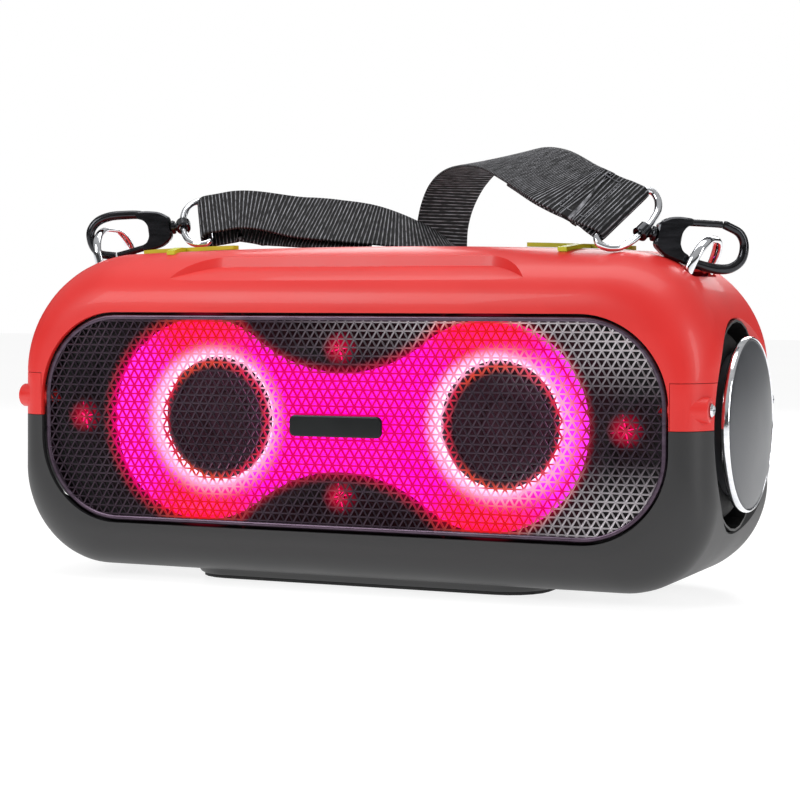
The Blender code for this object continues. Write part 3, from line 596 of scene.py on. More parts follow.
RED = plain("red_shell", (212, 34, 30), (222, 42, 38), 60, (0.4, 0.48), 0.12, 0.35, Coat_Weight=0.1)
GREY = plain("grey_shell", (35, 35, 36), (41, 41, 42), 60, (0.42, 0.52), 0.12, 0.35)
PLATE = plain("plate_grey", (80, 82, 86), (90, 92, 96), 40, (0.3, 0.38), 0.06, 0.3, Metallic=0.35)
BLACK = plain("black_plastic", (18, 18, 19), (27, 27, 28), 15, (0.35, 0.5), 0.2, 0.4)
GLOSS = plain("badge_black", (6, 10, 11), (10, 15, 16), 20, (0.3, 0.4), 0.05, Specular_IOR_Level=0.3)
RUBBER = plain("black_rubber", (26, 26, 27), (38, 38, 39), 6, (0.65, 0.85), 0.4, 0.3)
PAPER = plain("cone_pulp", (22, 18, 21), (36, 30, 34), 5, (0.55, 0.8), 0.5, 0.5)
CHROME = brushed("bright_chrome", (214, 216, 220), (236, 238, 242), (0.05, 0.11))
TRIM = brushed("trim_chrome", (225, 227, 231), (244, 245, 248), (0.08, 0.15))
GUN = brushed("black_nickel", (36, 37, 40), (52, 53, 57), (0.16, 0.26), 0.9, Coat_Weight=0.3)
RIM = brushed("rim_metal", (70, 57, 70), (92, 78, 92), (0.26, 0.36), 0.85)
STEEL = brushed("magnet_steel", (120, 122, 126), (150, 152, 156), (0.3, 0.45))
LIME = plain("lime_plastic", (184, 190, 14), (202, 208, 30), 20, (0.38, 0.48), 0.15)
BOARD = plain("board_green", (12, 84, 44), (24, 112, 60), 4, (0.35, 0.55), 0.3, 0.6)
WRAP = plain("cell_wrap", (26, 62, 140), (36, 78, 168), 14, (0.25, 0.4), 0.1)
GLOW = make_glow()
WIRE = make_wire()
BAFFLE = make_baffle()
WEBBING = make_webbing_finish("ribbed_webbing", True)
THREAD = plain("grey_thread", (70, 70, 74), (110, 110, 116), 1, (0.5, 0.7), 0.5, 0.2)
SPARK = Finish("lamp_glow", srgb(255, 60, 120), srgb(255, 120, 170), 2, (0.3, 0.5), 0.05)
SPARK.glow(opaque(255, 20, 110), 1.5)
SPARK = SPARK.material


# ---------------------------------------------------------------- shells


def outline(half_width, low, high, low_radius, high_radius, crown):
    """Front view of the body, anticlockwise from the middle of the bottom."""
    steps = 24
    reach = half_width - high_radius
    points = arc(half_width - low_radius, low + low_radius, low_radius, -90, steps)
    points += arc(reach, high - high_radius, high_radius, 0, steps)
    for i in range(1, steps):
        x = reach * (1 - 2 * i / steps)
        points.append((x, high + crown * (1 - (x / reach) ** 2)))
    points += arc(-reach, high - high_radius, high_radius, 90, steps)
    return points + arc(-half_width + low_radius, low + low_radius, low_radius, 180, steps)


def body_rings(inset):
    """Rings from the front lip over the fillets to the back. The fillet is deeper on top than at the ends."""
    full = outline(
        HALF_WIDTH - inset,
        BODY_BOTTOM + inset,
        SHOULDER_Z - inset,
        BOTTOM_RADIUS - inset,
        TOP_RADIUS - inset,
        CROWN,
    )
    lip = outline(
        OPENING_HALF_WIDTH + LIP - inset,
        CENTRE_Z - OPENING_HALF_HEIGHT - LIP + inset,
        CENTRE_Z + OPENING_HALF_HEIGHT + LIP - inset,
        OPENING_RADIUS,
        OPENING_RADIUS,
        0.0,
    )
    rings = []
    for side, turns in ((-1, range(13)), (1, range(12, -1, -1))):
        for turn in turns:
            angle = math.radians(7.5 * turn)
            reach, drop = math.sin(angle), 1 - math.cos(angle)
            ring = []
            for (x, z), (lx, lz) in zip(full, lip):
                slope = math.atan2(z - CENTRE_Z, 0.35 * abs(x))
                depth = 20 + (30 if slope > 0 else 9) * math.sin(slope) ** 2
                y = side * (HALF_DEPTH - inset - depth * drop)
                ring.append((lx + (x - lx) * reach, y, lz + (z - lz) * reach))
            rings.append(ring)
    return rings


def recess_cutter(side):
    """Oval hole through the end wall, with a rounded mouth."""
    mouth = 6.0
    steps = [(184.0, 0.0)]
    for angle in (math.radians(10 * i) for i in range(10)):
        steps.append((197.0 - mouth * math.cos(angle), mouth * (1 - math.sin(math.pi / 2 - angle))))
    rings = []
    for x, grow in steps:
        oval = ellipse((0, CENTRE_Z), RECESS_HALF_DEPTH + grow, RECESS_HALF_HEIGHT + grow)
        rings.append([(side * x, y, z) for y, z in oval])
    return mesh_from_rings(rings)


def shoulder_scoop(grow=0.0):
    """Ledge cut along the front shoulder: a sloped floor, a steep riser and closed, curved ends."""
    rings = []
    length = 104 + grow
    for i in range(73):
        x = length * math.sin((-1 + 2 * i / 72) * math.pi / 2)
        share = max(0.0, (abs(x) - 76) / 28)
        ahead, down = 18.5 * share**1.6, 7.4 * share**1.6
        section = (
            (-70.0, 157.5 - grow),
            (-46.5 + grow - ahead, 168.0 - grow - down),
            (-44.8 + grow - ahead, 174.5 - down),
            (-70.0, 186.0),
        )
        rings.append([(x, y, z) for y, z in section])
    return mesh_from_rings(rings)


def loop_direction(side):
    lean = LOOP_LEAN[side]
    return Vector((side * math.sin(lean), 0, math.cos(lean)))


def loop_slot(side):
    base, up = LOOP_BASE[side], loop_direction(side)
    across = Vector((up.z, 0, -up.x))
    rings = []
    for level in (-6.0, 30.0):
        edge = rounded_box((-LOOP_HALF_SPAN - 4.6, -4.6), (LOOP_HALF_SPAN + 4.6, 4.6), 4.5)
        rings.append([base + up * level + Vector((0, 1, 0)) * along + across * wide for along, wide in edge])
    return mesh_from_rings(rings)


def take_body_normals(item, tree, smooth):
    """Shades what is left of the moulded surface as the whole body is, without marks beside the cuts."""
    mesh = item.data
    shade(mesh, 30)
    corners = [tuple(normal.vector) for normal in mesh.corner_normals]
    for face in mesh.polygons:
        for loop in face.loop_indices:
            point = mesh.vertices[mesh.loops[loop].vertex_index].co
            spot, flat, index, gap = tree.find_nearest(point)
            if gap > 0.03 * MM or flat.dot(face.normal) < 0.96:
                continue
            corner_ids = smooth["faces"][index]
            weights = poly_3d_calc([smooth["points"][i] for i in corner_ids], spot)
            normal = sum((smooth["normals"][i] * w for i, w in zip(corner_ids, weights)), Vector())
            corners[loop] = tuple(normal.normalized())
    mesh.normals_split_custom_set(corners)


def lug(side, centre):
    """Bullet shaped lug along X that fades into the corner."""
    angles = [math.radians(i) for i in range(5, 91, 5)]
    profile = [(184.5 - 14.5 * math.cos(t), LUG_RADIUS * math.sin(t)) for t in angles]
    profile += [(LUG_END_X - back, LUG_RADIUS - shrink) for back, shrink in ((0.8, 0), (0.2, 0.3), (0, 1))]
    rings = []
    for x, radius in profile:
        aside = centre[1] + math.copysign(0.13, centre[1]) * (LUG_END_X - x)
        rings.append([(side * x, y, z) for y, z in ellipse((aside, centre[2]), radius, radius, 48)])
    return mesh_from_rings(rings)


def make_shells():
    whole = mesh_from_rings(body_rings(0))
    tree = BVHTree.FromPolygons([v.co for v in whole.vertices], [face.vertices for face in whole.polygons])
    smooth = {
        "points": [v.co.copy() for v in whole.vertices],
        "normals": [n.vector.copy() for n in whole.vertex_normals],
        "faces": [tuple(face.vertices) for face in whole.polygons],
    }
    shell = add_object("shell_block", whole.copy(), RED)
    foot = []
    for z, shrink in ((1.8, 3.0), (2.4, 2.0), (4.0, 1.0), (9.0, -4.0), (16.0, -10.0)):
        low = (-FOOT_HALF_LENGTH + shrink, -FOOT_HALF_DEPTH + shrink)
        high = (FOOT_HALF_LENGTH - shrink, FOOT_HALF_DEPTH - shrink)
        foot.append([(x, y, z) for x, y in rounded_box(low, high, 26 - shrink, 12)])
    modify(shell, mesh_from_rings(foot), "UNION")
    cavity = add_object("cavity", mesh_from_rings(body_rings(WALL)), None)
    modify(cavity, shoulder_scoop(WALL), "DIFFERENCE")
    modify(shell, cavity.data, "DIFFERENCE")
    bpy.data.objects.remove(cavity, do_unlink=True)
    opening = rounded_box(
        (-OPENING_HALF_WIDTH, CENTRE_Z - OPENING_HALF_HEIGHT),
        (OPENING_HALF_WIDTH, CENTRE_Z + OPENING_HALF_HEIGHT),
        OPENING_RADIUS,
        24,
    )
    panel = rounded_box((-PANEL_HALF_LENGTH, PANEL_Y[0]), (PANEL_HALF_LENGTH, PANEL_Y[1]), 8)
    door = rounded_box((DOOR_X - 36, DOOR_Z[0]), (DOOR_X + 36, DOOR_Z[1]), 7)
    cutters = [shoulder_scoop(), prism(opening, "Y", -HALF_DEPTH - 2, -HALF_DEPTH + 12)]
    cutters += [prism(panel, "Z", 170, 185), prism(door, "Y", HALF_DEPTH - 8, HALF_DEPTH + 2)]
    cutters += [cutter(side) for side in (-1, 1) for cutter in (recess_cutter, loop_slot)]
    for cutter in cutters:
        modify(shell, cutter, "DIFFERENCE")

    half, wide, deep = SEAM / 2, HALF_WIDTH + 10, HALF_DEPTH + 12
    belt = (SEAM_Z + half, BELT_Z - half)

    def part_of(name, nodes, material, slot, low, high, cuts=(), adds=()):
        item = add_object(name, shell.data.copy(), material)
        modify(item, box(low, high), "INTERSECT")
        for mesh in cuts:
            modify(item, mesh, "DIFFERENCE")
        for mesh in adds:
            modify(item, mesh, "UNION")
        take_body_normals(item, tree, smooth)
        return settle(item, nodes)

    corners = []
    for side in (-1, 1):
        start, end = sorted((side * (CLAMP_INNER_X - SEAM), side * wide))
        corners.append(box((start, -deep, belt[0] - 2), (end, deep, BELT_Z + half)))
    upper = ((-wide, -deep, belt[0]), (wide, deep, 200))
    lower = ((-wide, -deep, -5), (wide, deep, SEAM_Z - half))
    part_of("upper_skin", ["upper_shell"], RED, "red_shell", *upper, corners)
    part_of("lower_skin", ["lower_shell"], GREY, "dark_shell", *lower)
    for x_side, x_name in ((-1, "left"), (1, "right")):
        for y_side, y_name in ((-1, "front"), (1, "rear")):
            x_low, x_high = sorted((x_side * CLAMP_INNER_X, x_side * wide))
            y_low, y_high = sorted((0, y_side * deep))
            centre = (0, y_side * LUG_Y, LUG_Z)
            item = part_of(
                f"{y_name}_{x_name}_clamp_skin",
                [f"{y_name}_{x_name}_clamp"],
                RED,
                "red_shell",
                (x_low, y_low, belt[0]),
                (x_high, y_high, belt[1]),
                adds=[lug(x_side, centre)],
            )
            seat = ((x_side * (LUG_END_X - 3), 3.6), (x_side * (LUG_END_X + 2), 3.6))
            modify(item, disc_of(seat, "X", centre, 32), "DIFFERENCE")
    bpy.data.objects.remove(shell, do_unlink=True)


# ---------------------------------------------------------------- front


def offset_opening(inset, steps=24):
    low = (-OPENING_HALF_WIDTH + inset, CENTRE_Z - OPENING_HALF_HEIGHT + inset)
    high = (OPENING_HALF_WIDTH - inset, CENTRE_Z + OPENING_HALF_HEIGHT - inset)
    return rounded_box(low, high, OPENING_RADIUS - inset, steps)


def dog_bone(grow):
    """Two circles joined by a waist whose edges are arcs tangent to both circles."""
    radius = RING_RADIUS + grow
    waist = WAIST_HALF + grow
    bend = (DRIVER_X**2 + waist**2 - radius**2) / (2 * (radius - waist))
    rise = waist + bend
    touch = math.atan2(rise, -DRIVER_X)
    points = []
    for i in range(65):
        angle = -touch + 2 * touch * i / 64
        points.append((DRIVER_X + radius * math.cos(angle), CENTRE_Z + radius * math.sin(angle)))
    span = math.pi / 2 - (math.pi - touch)
    for i in range(1, 32):
        angle = -math.pi / 2 + span * (1 - 2 * i / 32)
        points.append((bend * math.cos(angle), CENTRE_Z + rise + bend * math.sin(angle)))
    return points + [(-x, 2 * CENTRE_Z - z) for x, z in points]


def outside_rounded(point, half_width, half_height, radius):
    """Distance from the rounded opening's edge, below 0 inside it."""
    dx = abs(point[0]) - half_width + radius
    dz = abs(point[2] - CENTRE_Z) - half_height + radius
    return math.hypot(max(dx, 0), max(dz, 0)) + min(max(dx, dz), 0) - radius


def clipped(polygon, edge):
    """The part of a polygon inside a convex outline, both in the front view."""
    for (ax, az), (bx, bz) in zip(edge, edge[1:] + edge[:1]):
        kept = []
        heights = [(bx - ax) * (p[2] - az) - (bz - az) * (p[0] - ax) for p in polygon]
        for i, point in enumerate(polygon):
            j = (i + 1) % len(polygon)
            if heights[i] >= 0:
                kept.append(point)
            if (heights[i] >= 0) != (heights[j] >= 0):
                kept.append(point.lerp(polygon[j], heights[i] / (heights[i] - heights[j])))
        polygon = kept
        if len(polygon) < 3:
            return []
    return polygon


def make_grille():
    """Grille of small triangles in rows, with a ridge along each wire, cut to the opening."""
    inset = RIM_GAP + RIM_WIDTH - 0.4
    edge = offset_opening(inset)
    half_width, half_height = OPENING_HALF_WIDTH - inset, OPENING_HALF_HEIGHT - inset
    radius = OPENING_RADIUS - inset
    row = CELL_SIDE * math.sqrt(3) / 2
    inner = CELL_SIDE / (2 * math.sqrt(3))
    shrink = (inner - WIRE_HALF) / inner
    work = bmesh.new()
    rows, columns = int(half_height / row) + 2, int(half_width / CELL_SIDE) + 2
    for j in range(-rows, rows):
        low, high = CENTRE_Z + j * row, CENTRE_Z + (j + 1) * row
        shift = CELL_SIDE / 2 * (j % 2)
        for i in range(-columns, columns):
            x = i * CELL_SIDE + shift
            for a, b, c in (
                ((x, low), (x + CELL_SIDE, low), (x + CELL_SIDE / 2, high)),
                ((x + CELL_SIDE / 2, high), (x + CELL_SIDE, low), (x + 1.5 * CELL_SIDE, high)),
            ):
                outer = [Vector((px, GRILLE_FRONT, pz)) for px, pz in (a, b, c)]
                if min(outside_rounded(p, half_width, half_height, radius) for p in outer) > 0.5 * CELL_SIDE:
                    continue
                middle = sum(outer, Vector()) / 3
                hole = [middle + (p - middle) * shrink + Vector((0, 0.35, 0)) for p in outer]
                for k in range(3):
                    quad = [outer[k], outer[(k + 1) % 3], hole[(k + 1) % 3], hole[k]]
                    if max(outside_rounded(p, half_width, half_height, radius) for p in quad) > -0.01:
                        quad = clipped(quad, edge)
                    if len(quad) > 2:
                        work.faces.new([work.verts.new(p * MM) for p in quad])
    bmesh.ops.remove_doubles(work, verts=work.verts, dist=0.01 * MM)
    bmesh.ops.dissolve_degenerate(work, edges=work.edges, dist=0.01 * MM)
    bmesh.ops.recalc_face_normals(work, faces=work.faces)
    bmesh.ops.solidify(work, geom=work.verts[:] + work.edges[:] + work.faces[:], thickness=1.1 * MM)
    piece("grille_mesh", mesh_of(work), WIRE, ["front_grille"], angle=20)


def make_front():
    make_grille()
    wide, back = RIM_WIDTH, BAFFLE_FRONT - 1
    profile = [(RIM_GAP, back), (RIM_GAP, GRILLE_FRONT + 0.4)]
    for t in range(0, 181, 20):
        angle = math.radians(t)
        inset = RIM_GAP + wide / 2 * (1 - math.cos(angle))
        profile.append((inset, GRILLE_FRONT + 0.4 - 0.8 * math.sin(angle)))
    profile += [(RIM_GAP + wide, back)]
    rim = [[(x, y, z) for x, z in offset_opening(inset, 32)] for inset, y in profile]
    piece("rim_bezel", mesh_from_rings(rim, closed=True), RIM, ["grille_rim"])
    badge = []
    for y, shrink in ((-66.3, 0), (-67.2, 0), (-67.5, 0.1), (-67.7, 0.5), (-67.75, 1.0)):
        low, high = (-26.2 + shrink, CENTRE_Z - 7.1 + shrink), (26.2 - shrink, CENTRE_Z + 3.9 - shrink)
        badge.append([(x, y, z) for x, z in rounded_box(low, high, 3.0 - shrink)])
    piece("badge_plate", mesh_from_rings(badge), GLOSS, ["badge"])

    sheet = rounded_box((-176.0, CENTRE_Z - 58.6), (176.0, CENTRE_Z + 58.6), OPENING_RADIUS, 24)
    baffle = add_object("baffle_sheet", prism(sheet, "Y", BAFFLE_FRONT, BAFFLE_FRONT + 4), BAFFLE)
    modify(baffle, prism(dog_bone(0.3), "Y", BAFFLE_FRONT - 2, BAFFLE_FRONT + 6), "DIFFERENCE")
    for x, z in LED_SPOTS:
        bore = ((BAFFLE_FRONT - 2, 2.3), (BAFFLE_FRONT + 6, 2.3))
        modify(baffle, disc_of(bore, "Y", (x, 0, CENTRE_Z + z), 24), "DIFFERENCE")
    settle(baffle, ["front_baffle"])

    mouth, throat, thick = RING_RADIUS - 2.5, THROAT_RADIUS, 2.5
    guide = add_object("light_ring", prism(dog_bone(0), "Y", BAFFLE_FRONT, BAFFLE_FRONT + 2.5), GLOW)
    for side in (-1, 1):
        centre = (side * DRIVER_X, 0, CENTRE_Z)
        shaft = ((BAFFLE_FRONT - 2, mouth - 1), (BAFFLE_FRONT + 5, mouth - 1))
        modify(guide, disc_of(shaft, "Y", centre, 96), "DIFFERENCE")
        dish = [(BAFFLE_FRONT, mouth)]
        for i in range(1, 13):
            share = i / 12
            bow = 1.6 * math.sin(math.pi * share)
            depth = BAFFLE_FRONT + (THROAT_Y - BAFFLE_FRONT) * share
            dish.append((depth - bow, mouth + (throat - mouth) * share - bow))
        dish += [(THROAT_Y + thick, throat), (THROAT_Y + thick, throat + 2.2)]
        dish += [(BAFFLE_FRONT + thick, mouth + 1.4)]
        modify(guide, turned(dish, "Y", centre), "UNION")
    settle(guide, ["light_guide"])
    for i, (x, z) in enumerate(LED_SPOTS):
        make_spark(f"lamp_spark_{i + 1}", x, CENTRE_Z + z)


def make_spark(name, x, z):
    """Lamp lens behind the grille, with a painted glint of star rays round it that glow as the lamp does."""
    work = bmesh.new()
    count = 16
    tips = []
    for i in range(count):
        angle = math.tau * i / count + 0.2
        # Painted glint: the long and short points are the rays of a star round the lamp.
        radius = (8.5, 0.9, 4.5, 0.9)[i % 4]
        tip = Vector((x + radius * math.cos(angle), -60.8, z + radius * math.sin(angle)))
        tips.append(work.verts.new(tip * MM))
    front = work.verts.new(Vector((x, -62.6, z)) * MM)
    back = work.verts.new(Vector((x, -60.5, z)) * MM)
    for i in range(count):
        work.faces.new((tips[i], tips[(i + 1) % count], front))
        work.faces.new((tips[(i + 1) % count], tips[i], back))
    piece(name, mesh_of(work), SPARK, angle=180)


def make_driver(side, name):
    centre = (side * DRIVER_X, 0, CENTRE_Z)
    ring = [(-40.9, 33.2)]
    for i in range(13):
        angle = math.pi * i / 12
        ring.append((-40.6 - 2.0 * math.sin(angle), 30.1 + 2.9 * math.cos(angle)))
    for i in range(12, -1, -1):
        angle = math.pi * i / 12
        ring.append((-39.7 - 1.9 * math.sin(angle), 30.1 + 2.9 * math.cos(angle)))
    roll = turned(ring, "Y", centre)
    piece(f"{name}_surround_roll", roll, RUBBER, [f"{name}_cone_surround"])
    face = [(-37.6 + 4.0 * (r / 13) ** 2, r) for r in (0.4, 3, 6, 9, 11.5, 13)]
    face += [(-33.2, 13.4), (-33.6, 13.8)]
    face += [(-33.6 - 7.3 * ((r - 14) / 12.8) ** 0.9, r) for r in (14.5, 16, 18, 20, 22, 24, 26, 26.8)]
    face += [(-39.6, 26.8), (-27.0, 13.0), (-27.0, 0.5)]
    cone = f"{name}_cone"
    piece(f"{name}_cone_face", disc_of(face, "Y", centre, 96), PAPER, [cone], cone)


# ---------------------------------------------------------------- ends


def make_radiator(side, name):
    knots = [(182.4, 43.6, 50.4, CENTRE_Z), (184.6, 42.6, 48.2, CENTRE_Z), (188.6, 40.4, 44.4, CENTRE_Z)]
    knots += [(191.0, 37.8, 39.2, 87.8), (190.6, 36.4, 36.4, RADIATOR_Z)]
    front = smooth_path([knot[:3] for knot in knots], 17)
    heights = smooth_path([(knot[3], 0, 0) for knot in knots], 17)
    rings = [oval_ring(side * p.x, p.y, p.z, h.x) for p, h in zip(front, heights)]
    for p, h in zip(front[::-1], heights[::-1]):
        rings.append(oval_ring(side * (p.x - 1.2), p.y - 1.0, p.z - 1.0, h.x))
    roll = add_object(f"{name}_radiator_roll", mesh_from_rings(rings, closed=True), RUBBER)
    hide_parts(f"{name}_radiator_surround")
    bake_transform(roll)
    centre = (0, 0, RADIATOR_Z)
    face = PLATE_FACE_X
    plate = [(187.0, 36.0), (196.0, 36.0), (196.2, 42.8), (face - 0.7, 42.8), (face - 0.3, 42.6)]
    radii = (41, 38, 34, 30, 25, 20, 15, 10, 5, 0.5)
    plate += [(face + PLATE_DOME * (1 - (r / 41.6) ** 2), r) for r in radii]
    profile = [(side * x, r) for x, r in plate]
    piece(
        f"{name}_radiator_face",
        disc_of(profile, "X", centre, 128),
        PLATE,
        [f"{name}_radiator_plate"],
        f"{name}_radiator",
        50,
    )
    trim = [(196.2, 43.0), (face - 0.6, 43.0), (face - 0.1, 43.1), (face + 0.1, 43.4), (face - 0.1, 43.8)]
    trim += [(face - 0.8, 44.3), (face - 1.4, PLATE_RADIUS), (197.2, PLATE_RADIUS), (196.6, 44.1)]
    piece(
        f"{name}_radiator_bezel",
        turned([(side * x, r) for x, r in trim], "X", centre, 128),
        TRIM,
        [f"{name}_radiator_trim"],
        f"{name}_radiator",
        50,
    )


def oval_ring(x, half_depth, half_height, z=CENTRE_Z):
    return [(x, y, z_) for y, z_ in ellipse((0, z), half_depth, half_height)]


# ---------------------------------------------------------------- strap hardware


def make_loop(side, name):
    base, up = LOOP_BASE[side], loop_direction(side)
    span, corner = LOOP_HALF_SPAN, 15.0
    flat = []
    for cy, cz, start, radius in (
        (span - corner, LOOP_LENGTH[side] - corner, 0, corner),
        (-span + corner, LOOP_LENGTH[side] - corner, 90, corner),
        (-span + 3, 3, 180, 3),
        (span - 3, 3, 270, 3),
    ):
        flat += arc(cy, cz, radius, start, 16)
    path = [base + Vector((0, y, 0)) + up * z for y, z in flat]
    across = Vector((up.z, 0, -up.x))
    mesh = sweep(path, round_section(2.6, 1.7, 24), [across] * len(path), closed=True)
    piece(f"{name}_loop_bar", mesh, CHROME, [f"{name}_strap_loop"])


class Hook:
    """Frame of one snap hook: s runs from its tip to the ring's apex, e to the shank's side, n across it."""

    def __init__(self, side):
        self.bar = RING_BAR[side]
        self.w = RING_LEAN[side].normalized()
        reach = HOOK_TIP[side] - self.bar
        self.inward = (reach - self.w * reach.dot(self.w)).normalized()
        self.apex = self.bar + self.inward * RING_DEPTH
        self.d = (self.apex - HOOK_TIP[side]).normalized()
        self.tip = self.apex - self.d * HOOK_LENGTH
        shank_side = Vector((0, 0, -side))
        self.e = (shank_side - self.d * shank_side.dot(self.d)).normalized()
        self.n = self.d.cross(self.e)

    def at(self, s, e=0.0, n=0.0):
        return self.tip + self.d * s + self.e * e + self.n * n

    def plate(self, outline_points, half, edge=0.0):
        levels = ((-half, 0), (half, 0))
        if edge:
            levels = ((-half, edge), (-half + edge, 0), (half - edge, 0), (half, edge))
        middle = sum((Vector((s, e)) for s, e in outline_points), Vector((0, 0))) / len(outline_points)
        rings = []
        for n, shrink in levels:
            ring = []
            for s, e in outline_points:
                spoke = middle - Vector((s, e))
                spot = Vector((s, e)) + spoke.normalized() * shrink
                ring.append(self.at(spot.x, spot.y, n))
            rings.append(ring)
        return mesh_from_rings(rings)

    def round(self, profile, steps=32):
        rings = []
        for s, radius in profile:
            angles = [math.tau * i / steps for i in range(steps)]
            rings.append([self.at(s, radius * math.cos(t), radius * math.sin(t)) for t in angles])
        return mesh_from_rings(rings)


def rounded_corners(points, radius, steps=5):
    """A polygon with its corners rounded by quadratic curves."""
    flat = [Vector(p) for p in points]
    out = []
    for i, corner in enumerate(flat):
        before, after = flat[i - 1] - corner, flat[(i + 1) % len(flat)] - corner
        start = corner + before.normalized() * min(radius, before.length / 2.2)
        end = corner + after.normalized() * min(radius, after.length / 2.2)
        for k in range(steps + 1):
            t = k / steps
            out.append(start * (1 - t) ** 2 + corner * 2 * t * (1 - t) + end * t**2)
    return [(p.x, p.y) for p in out]


def make_hook(side, name):
    hook = Hook(side)
    shank = [(39, 7), (32, 9.6), (23.5, 10.8), (14.5, 11.2), (7, 9.2), (2.4, 4)]
    shank += [(2.4, -3.5), (6, -8.8), (12.5, -11), (14.8, -11.3)]
    path = smooth_path([hook.at(s, e) for s, e in shank], 80)
    block = [(29.5, 11.6), (29.5, 8.2), (33.5, 7.0), (35.6, 3.5), (35.6, -4.0), (33.5, -7.6), (31.0, -8.2)]
    block += [(31.0, -11.2), (38, -10.9), (43, -9.8), (48.6, -6.0), (48.6, 6.0), (43, 9.8), (36, 11.3)]
    item = add_object(f"{name}_hook_body", hook.plate(rounded_corners(block, 2.0), 3.2, 0.9), GUN, 40)
    sections = [[(a * swell, b * swell) for a, b in round_section(2.3)] for swell in nose_swell(len(path))]
    modify(item, sweep(path, sections, [hook.n] * len(path)), "UNION")
    slot = [(33, -2.6), (33, -12), (46.2, -12), (46.2, -2.6)]
    modify(item, hook.plate(slot, 1.9), "DIFFERENCE")
    modify(item, hook.round(((45.6, 2.5), (50, 2.5))), "DIFFERENCE")
    shade(item.data, 40)
    settle(item, [f"{name}_hook"], f"{name}_hook")

    gate = [(44.2, -7.2), (38, -8.2), (28.5, -9.6), (18.3, -11), (15.8, -11.2)]
    gate_path = smooth_path([hook.at(s, e) for s, e in gate], 40)
    mesh = sweep(gate_path, round_section(1.8), [hook.n] * len(gate_path))
    piece(f"{name}_gate_lever", mesh, GUN, [f"{name}_gate"], f"{name}_gate")
    make_swivel(hook, name)
    half = [(RING_DEPTH, 0), (RING_DEPTH, 5), (RING_DEPTH - 0.8, 11), (RING_DEPTH - 2.4, 16.5)]
    half += [(RING_DEPTH - 5.5, 20.8), (RING_DEPTH - 9.5, 23), (2.6, 22.8), (0.4, 20.6), (0, 17), (0, 8)]
    flat = half + [(0, 0)] + [(depth, -width) for depth, width in reversed(half[1:])]
    path = smooth_path([hook.bar + hook.inward * depth + hook.w * width for depth, width in flat], 160, True)
    normal = hook.w.cross(hook.inward)
    mesh = sweep(path, round_section(RING_WIRE), [normal] * len(path), closed=True)
    piece(f"{name}_ring_wire", mesh, CHROME, [f"{name}_d_ring"], f"{name}_strap_end")


def nose_swell(count):
    """Thickness of the shank along its length: a little fuller towards the nose, and tapered at its end."""
    shares = [i / count for i in range(count)]
    return [1.0 + 0.12 * math.sin(math.pi * min(1, 1.5 * t)) - 1.2 * max(0, t - 0.9) for t in shares]


def make_swivel(hook, name):
    """Stem that turns in the hook's block, with a collar and an eye round the ring's wire."""
    stem = [(46.0, 2.1), (48.95, 2.1), (49.0, 3.6), (49.3, 3.9), (50.5, 3.9), (50.8, 3.6), (50.9, 2.4)]
    stem += [(HOOK_LENGTH - 1.5, 2.4)]
    item = add_object(f"{name}_swivel_eye", hook.round(stem), GUN, 40)
    first, second = hook.inward, hook.w.cross(hook.inward)
    eye, bore = [], []
    spokes = [first * math.cos(t) + second * math.sin(t) for t in (math.tau * i / 32 for i in range(32))]
    for level, radius in ((-3.2, 3.6), (-2.7, 4.1), (2.7, 4.1), (3.2, 3.6)):
        eye.append([hook.apex + hook.w * level + spoke * radius for spoke in spokes])
    for level in (-6.4, 6.4):
        bore.append([hook.apex + hook.w * level + spoke * 2.4 for spoke in spokes])
    modify(item, mesh_from_rings(eye), "UNION")
    modify(item, mesh_from_rings(bore), "DIFFERENCE")
    shade(item.data, 40)
    settle(item, [f"{name}_swivel"], f"{name}_strap_end")


# ---------------------------------------------------------------- webbing


# Centre and width direction of the webbing between its two folded ends: over the top, down behind the back
# and up again, then over the arch.
WEBBING_ROUTE = (
    ((-88.0, 26.0, 199.9), (-0.44, 0.71, 0.56)),
    ((-74.0, 30.5, 197.9), (-0.38, 0.73, 0.58)),
    ((-50.0, 34.5, 195.4), (-0.32, 0.74, 0.60)),
    ((-27.0, 40.5, 192.4), (-0.30, 0.77, 0.57)),
    ((-8.0, 51.0, 187.8), (-0.40, 0.80, 0.45)),
    ((9.0, 65.0, 181.0), (-0.60, 0.74, 0.30)),
    ((24.0, 80.0, 168.0), (-0.86, 0.50, 0.08)),
    ((36.0, 90.0, 148.0), (-0.94, 0.34, 0.0)),
    ((43.0, 93.0, 122.0), (-0.80, 0.60, 0.0)),
    ((44.0, 95.0, 92.0), (-0.35, 0.94, 0.0)),
    ((37.0, 95.0, 66.0), (0.0, 1.0, 0.0)),
    ((22.0, 95.0, 55.0), (0.0, 1.0, 0.0)),
    ((7.0, 95.0, 66.0), (0.1, 0.99, 0.0)),
    ((-2.0, 94.0, 92.0), (0.25, 0.97, 0.0)),
    ((-7.0, 92.0, 125.0), (0.36, 0.93, 0.0)),
    ((-8.0, 91.5, 155.0), (0.40, 0.92, 0.0)),
    ((-7.2, 91.0, 180.5), (0.40, 0.92, -0.02)),
    ((-6.6, 91.0, 193.2), (0.42, 0.91, -0.00)),
    ((-2.6, 89.0, 205.2), (0.46, 0.89, 0.01)),
    ((4.7, 85.0, 215.8), (0.52, 0.85, 0.03)),
    ((16.8, 76.5, 223.7), (0.59, 0.80, 0.08)),
    ((34.1, 62.0, 227.8), (0.67, 0.73, 0.17)),
    ((56.7, 39.0, 227.8), (0.72, 0.63, 0.29)),
    ((81.0, 11.0, 221.3), (0.74, 0.53, 0.40)),
    ((107.3, -18.0, 210.4), (0.62, 0.63, 0.47)),
)
LOWEST = 14
ROUTE_STEPS = 1680


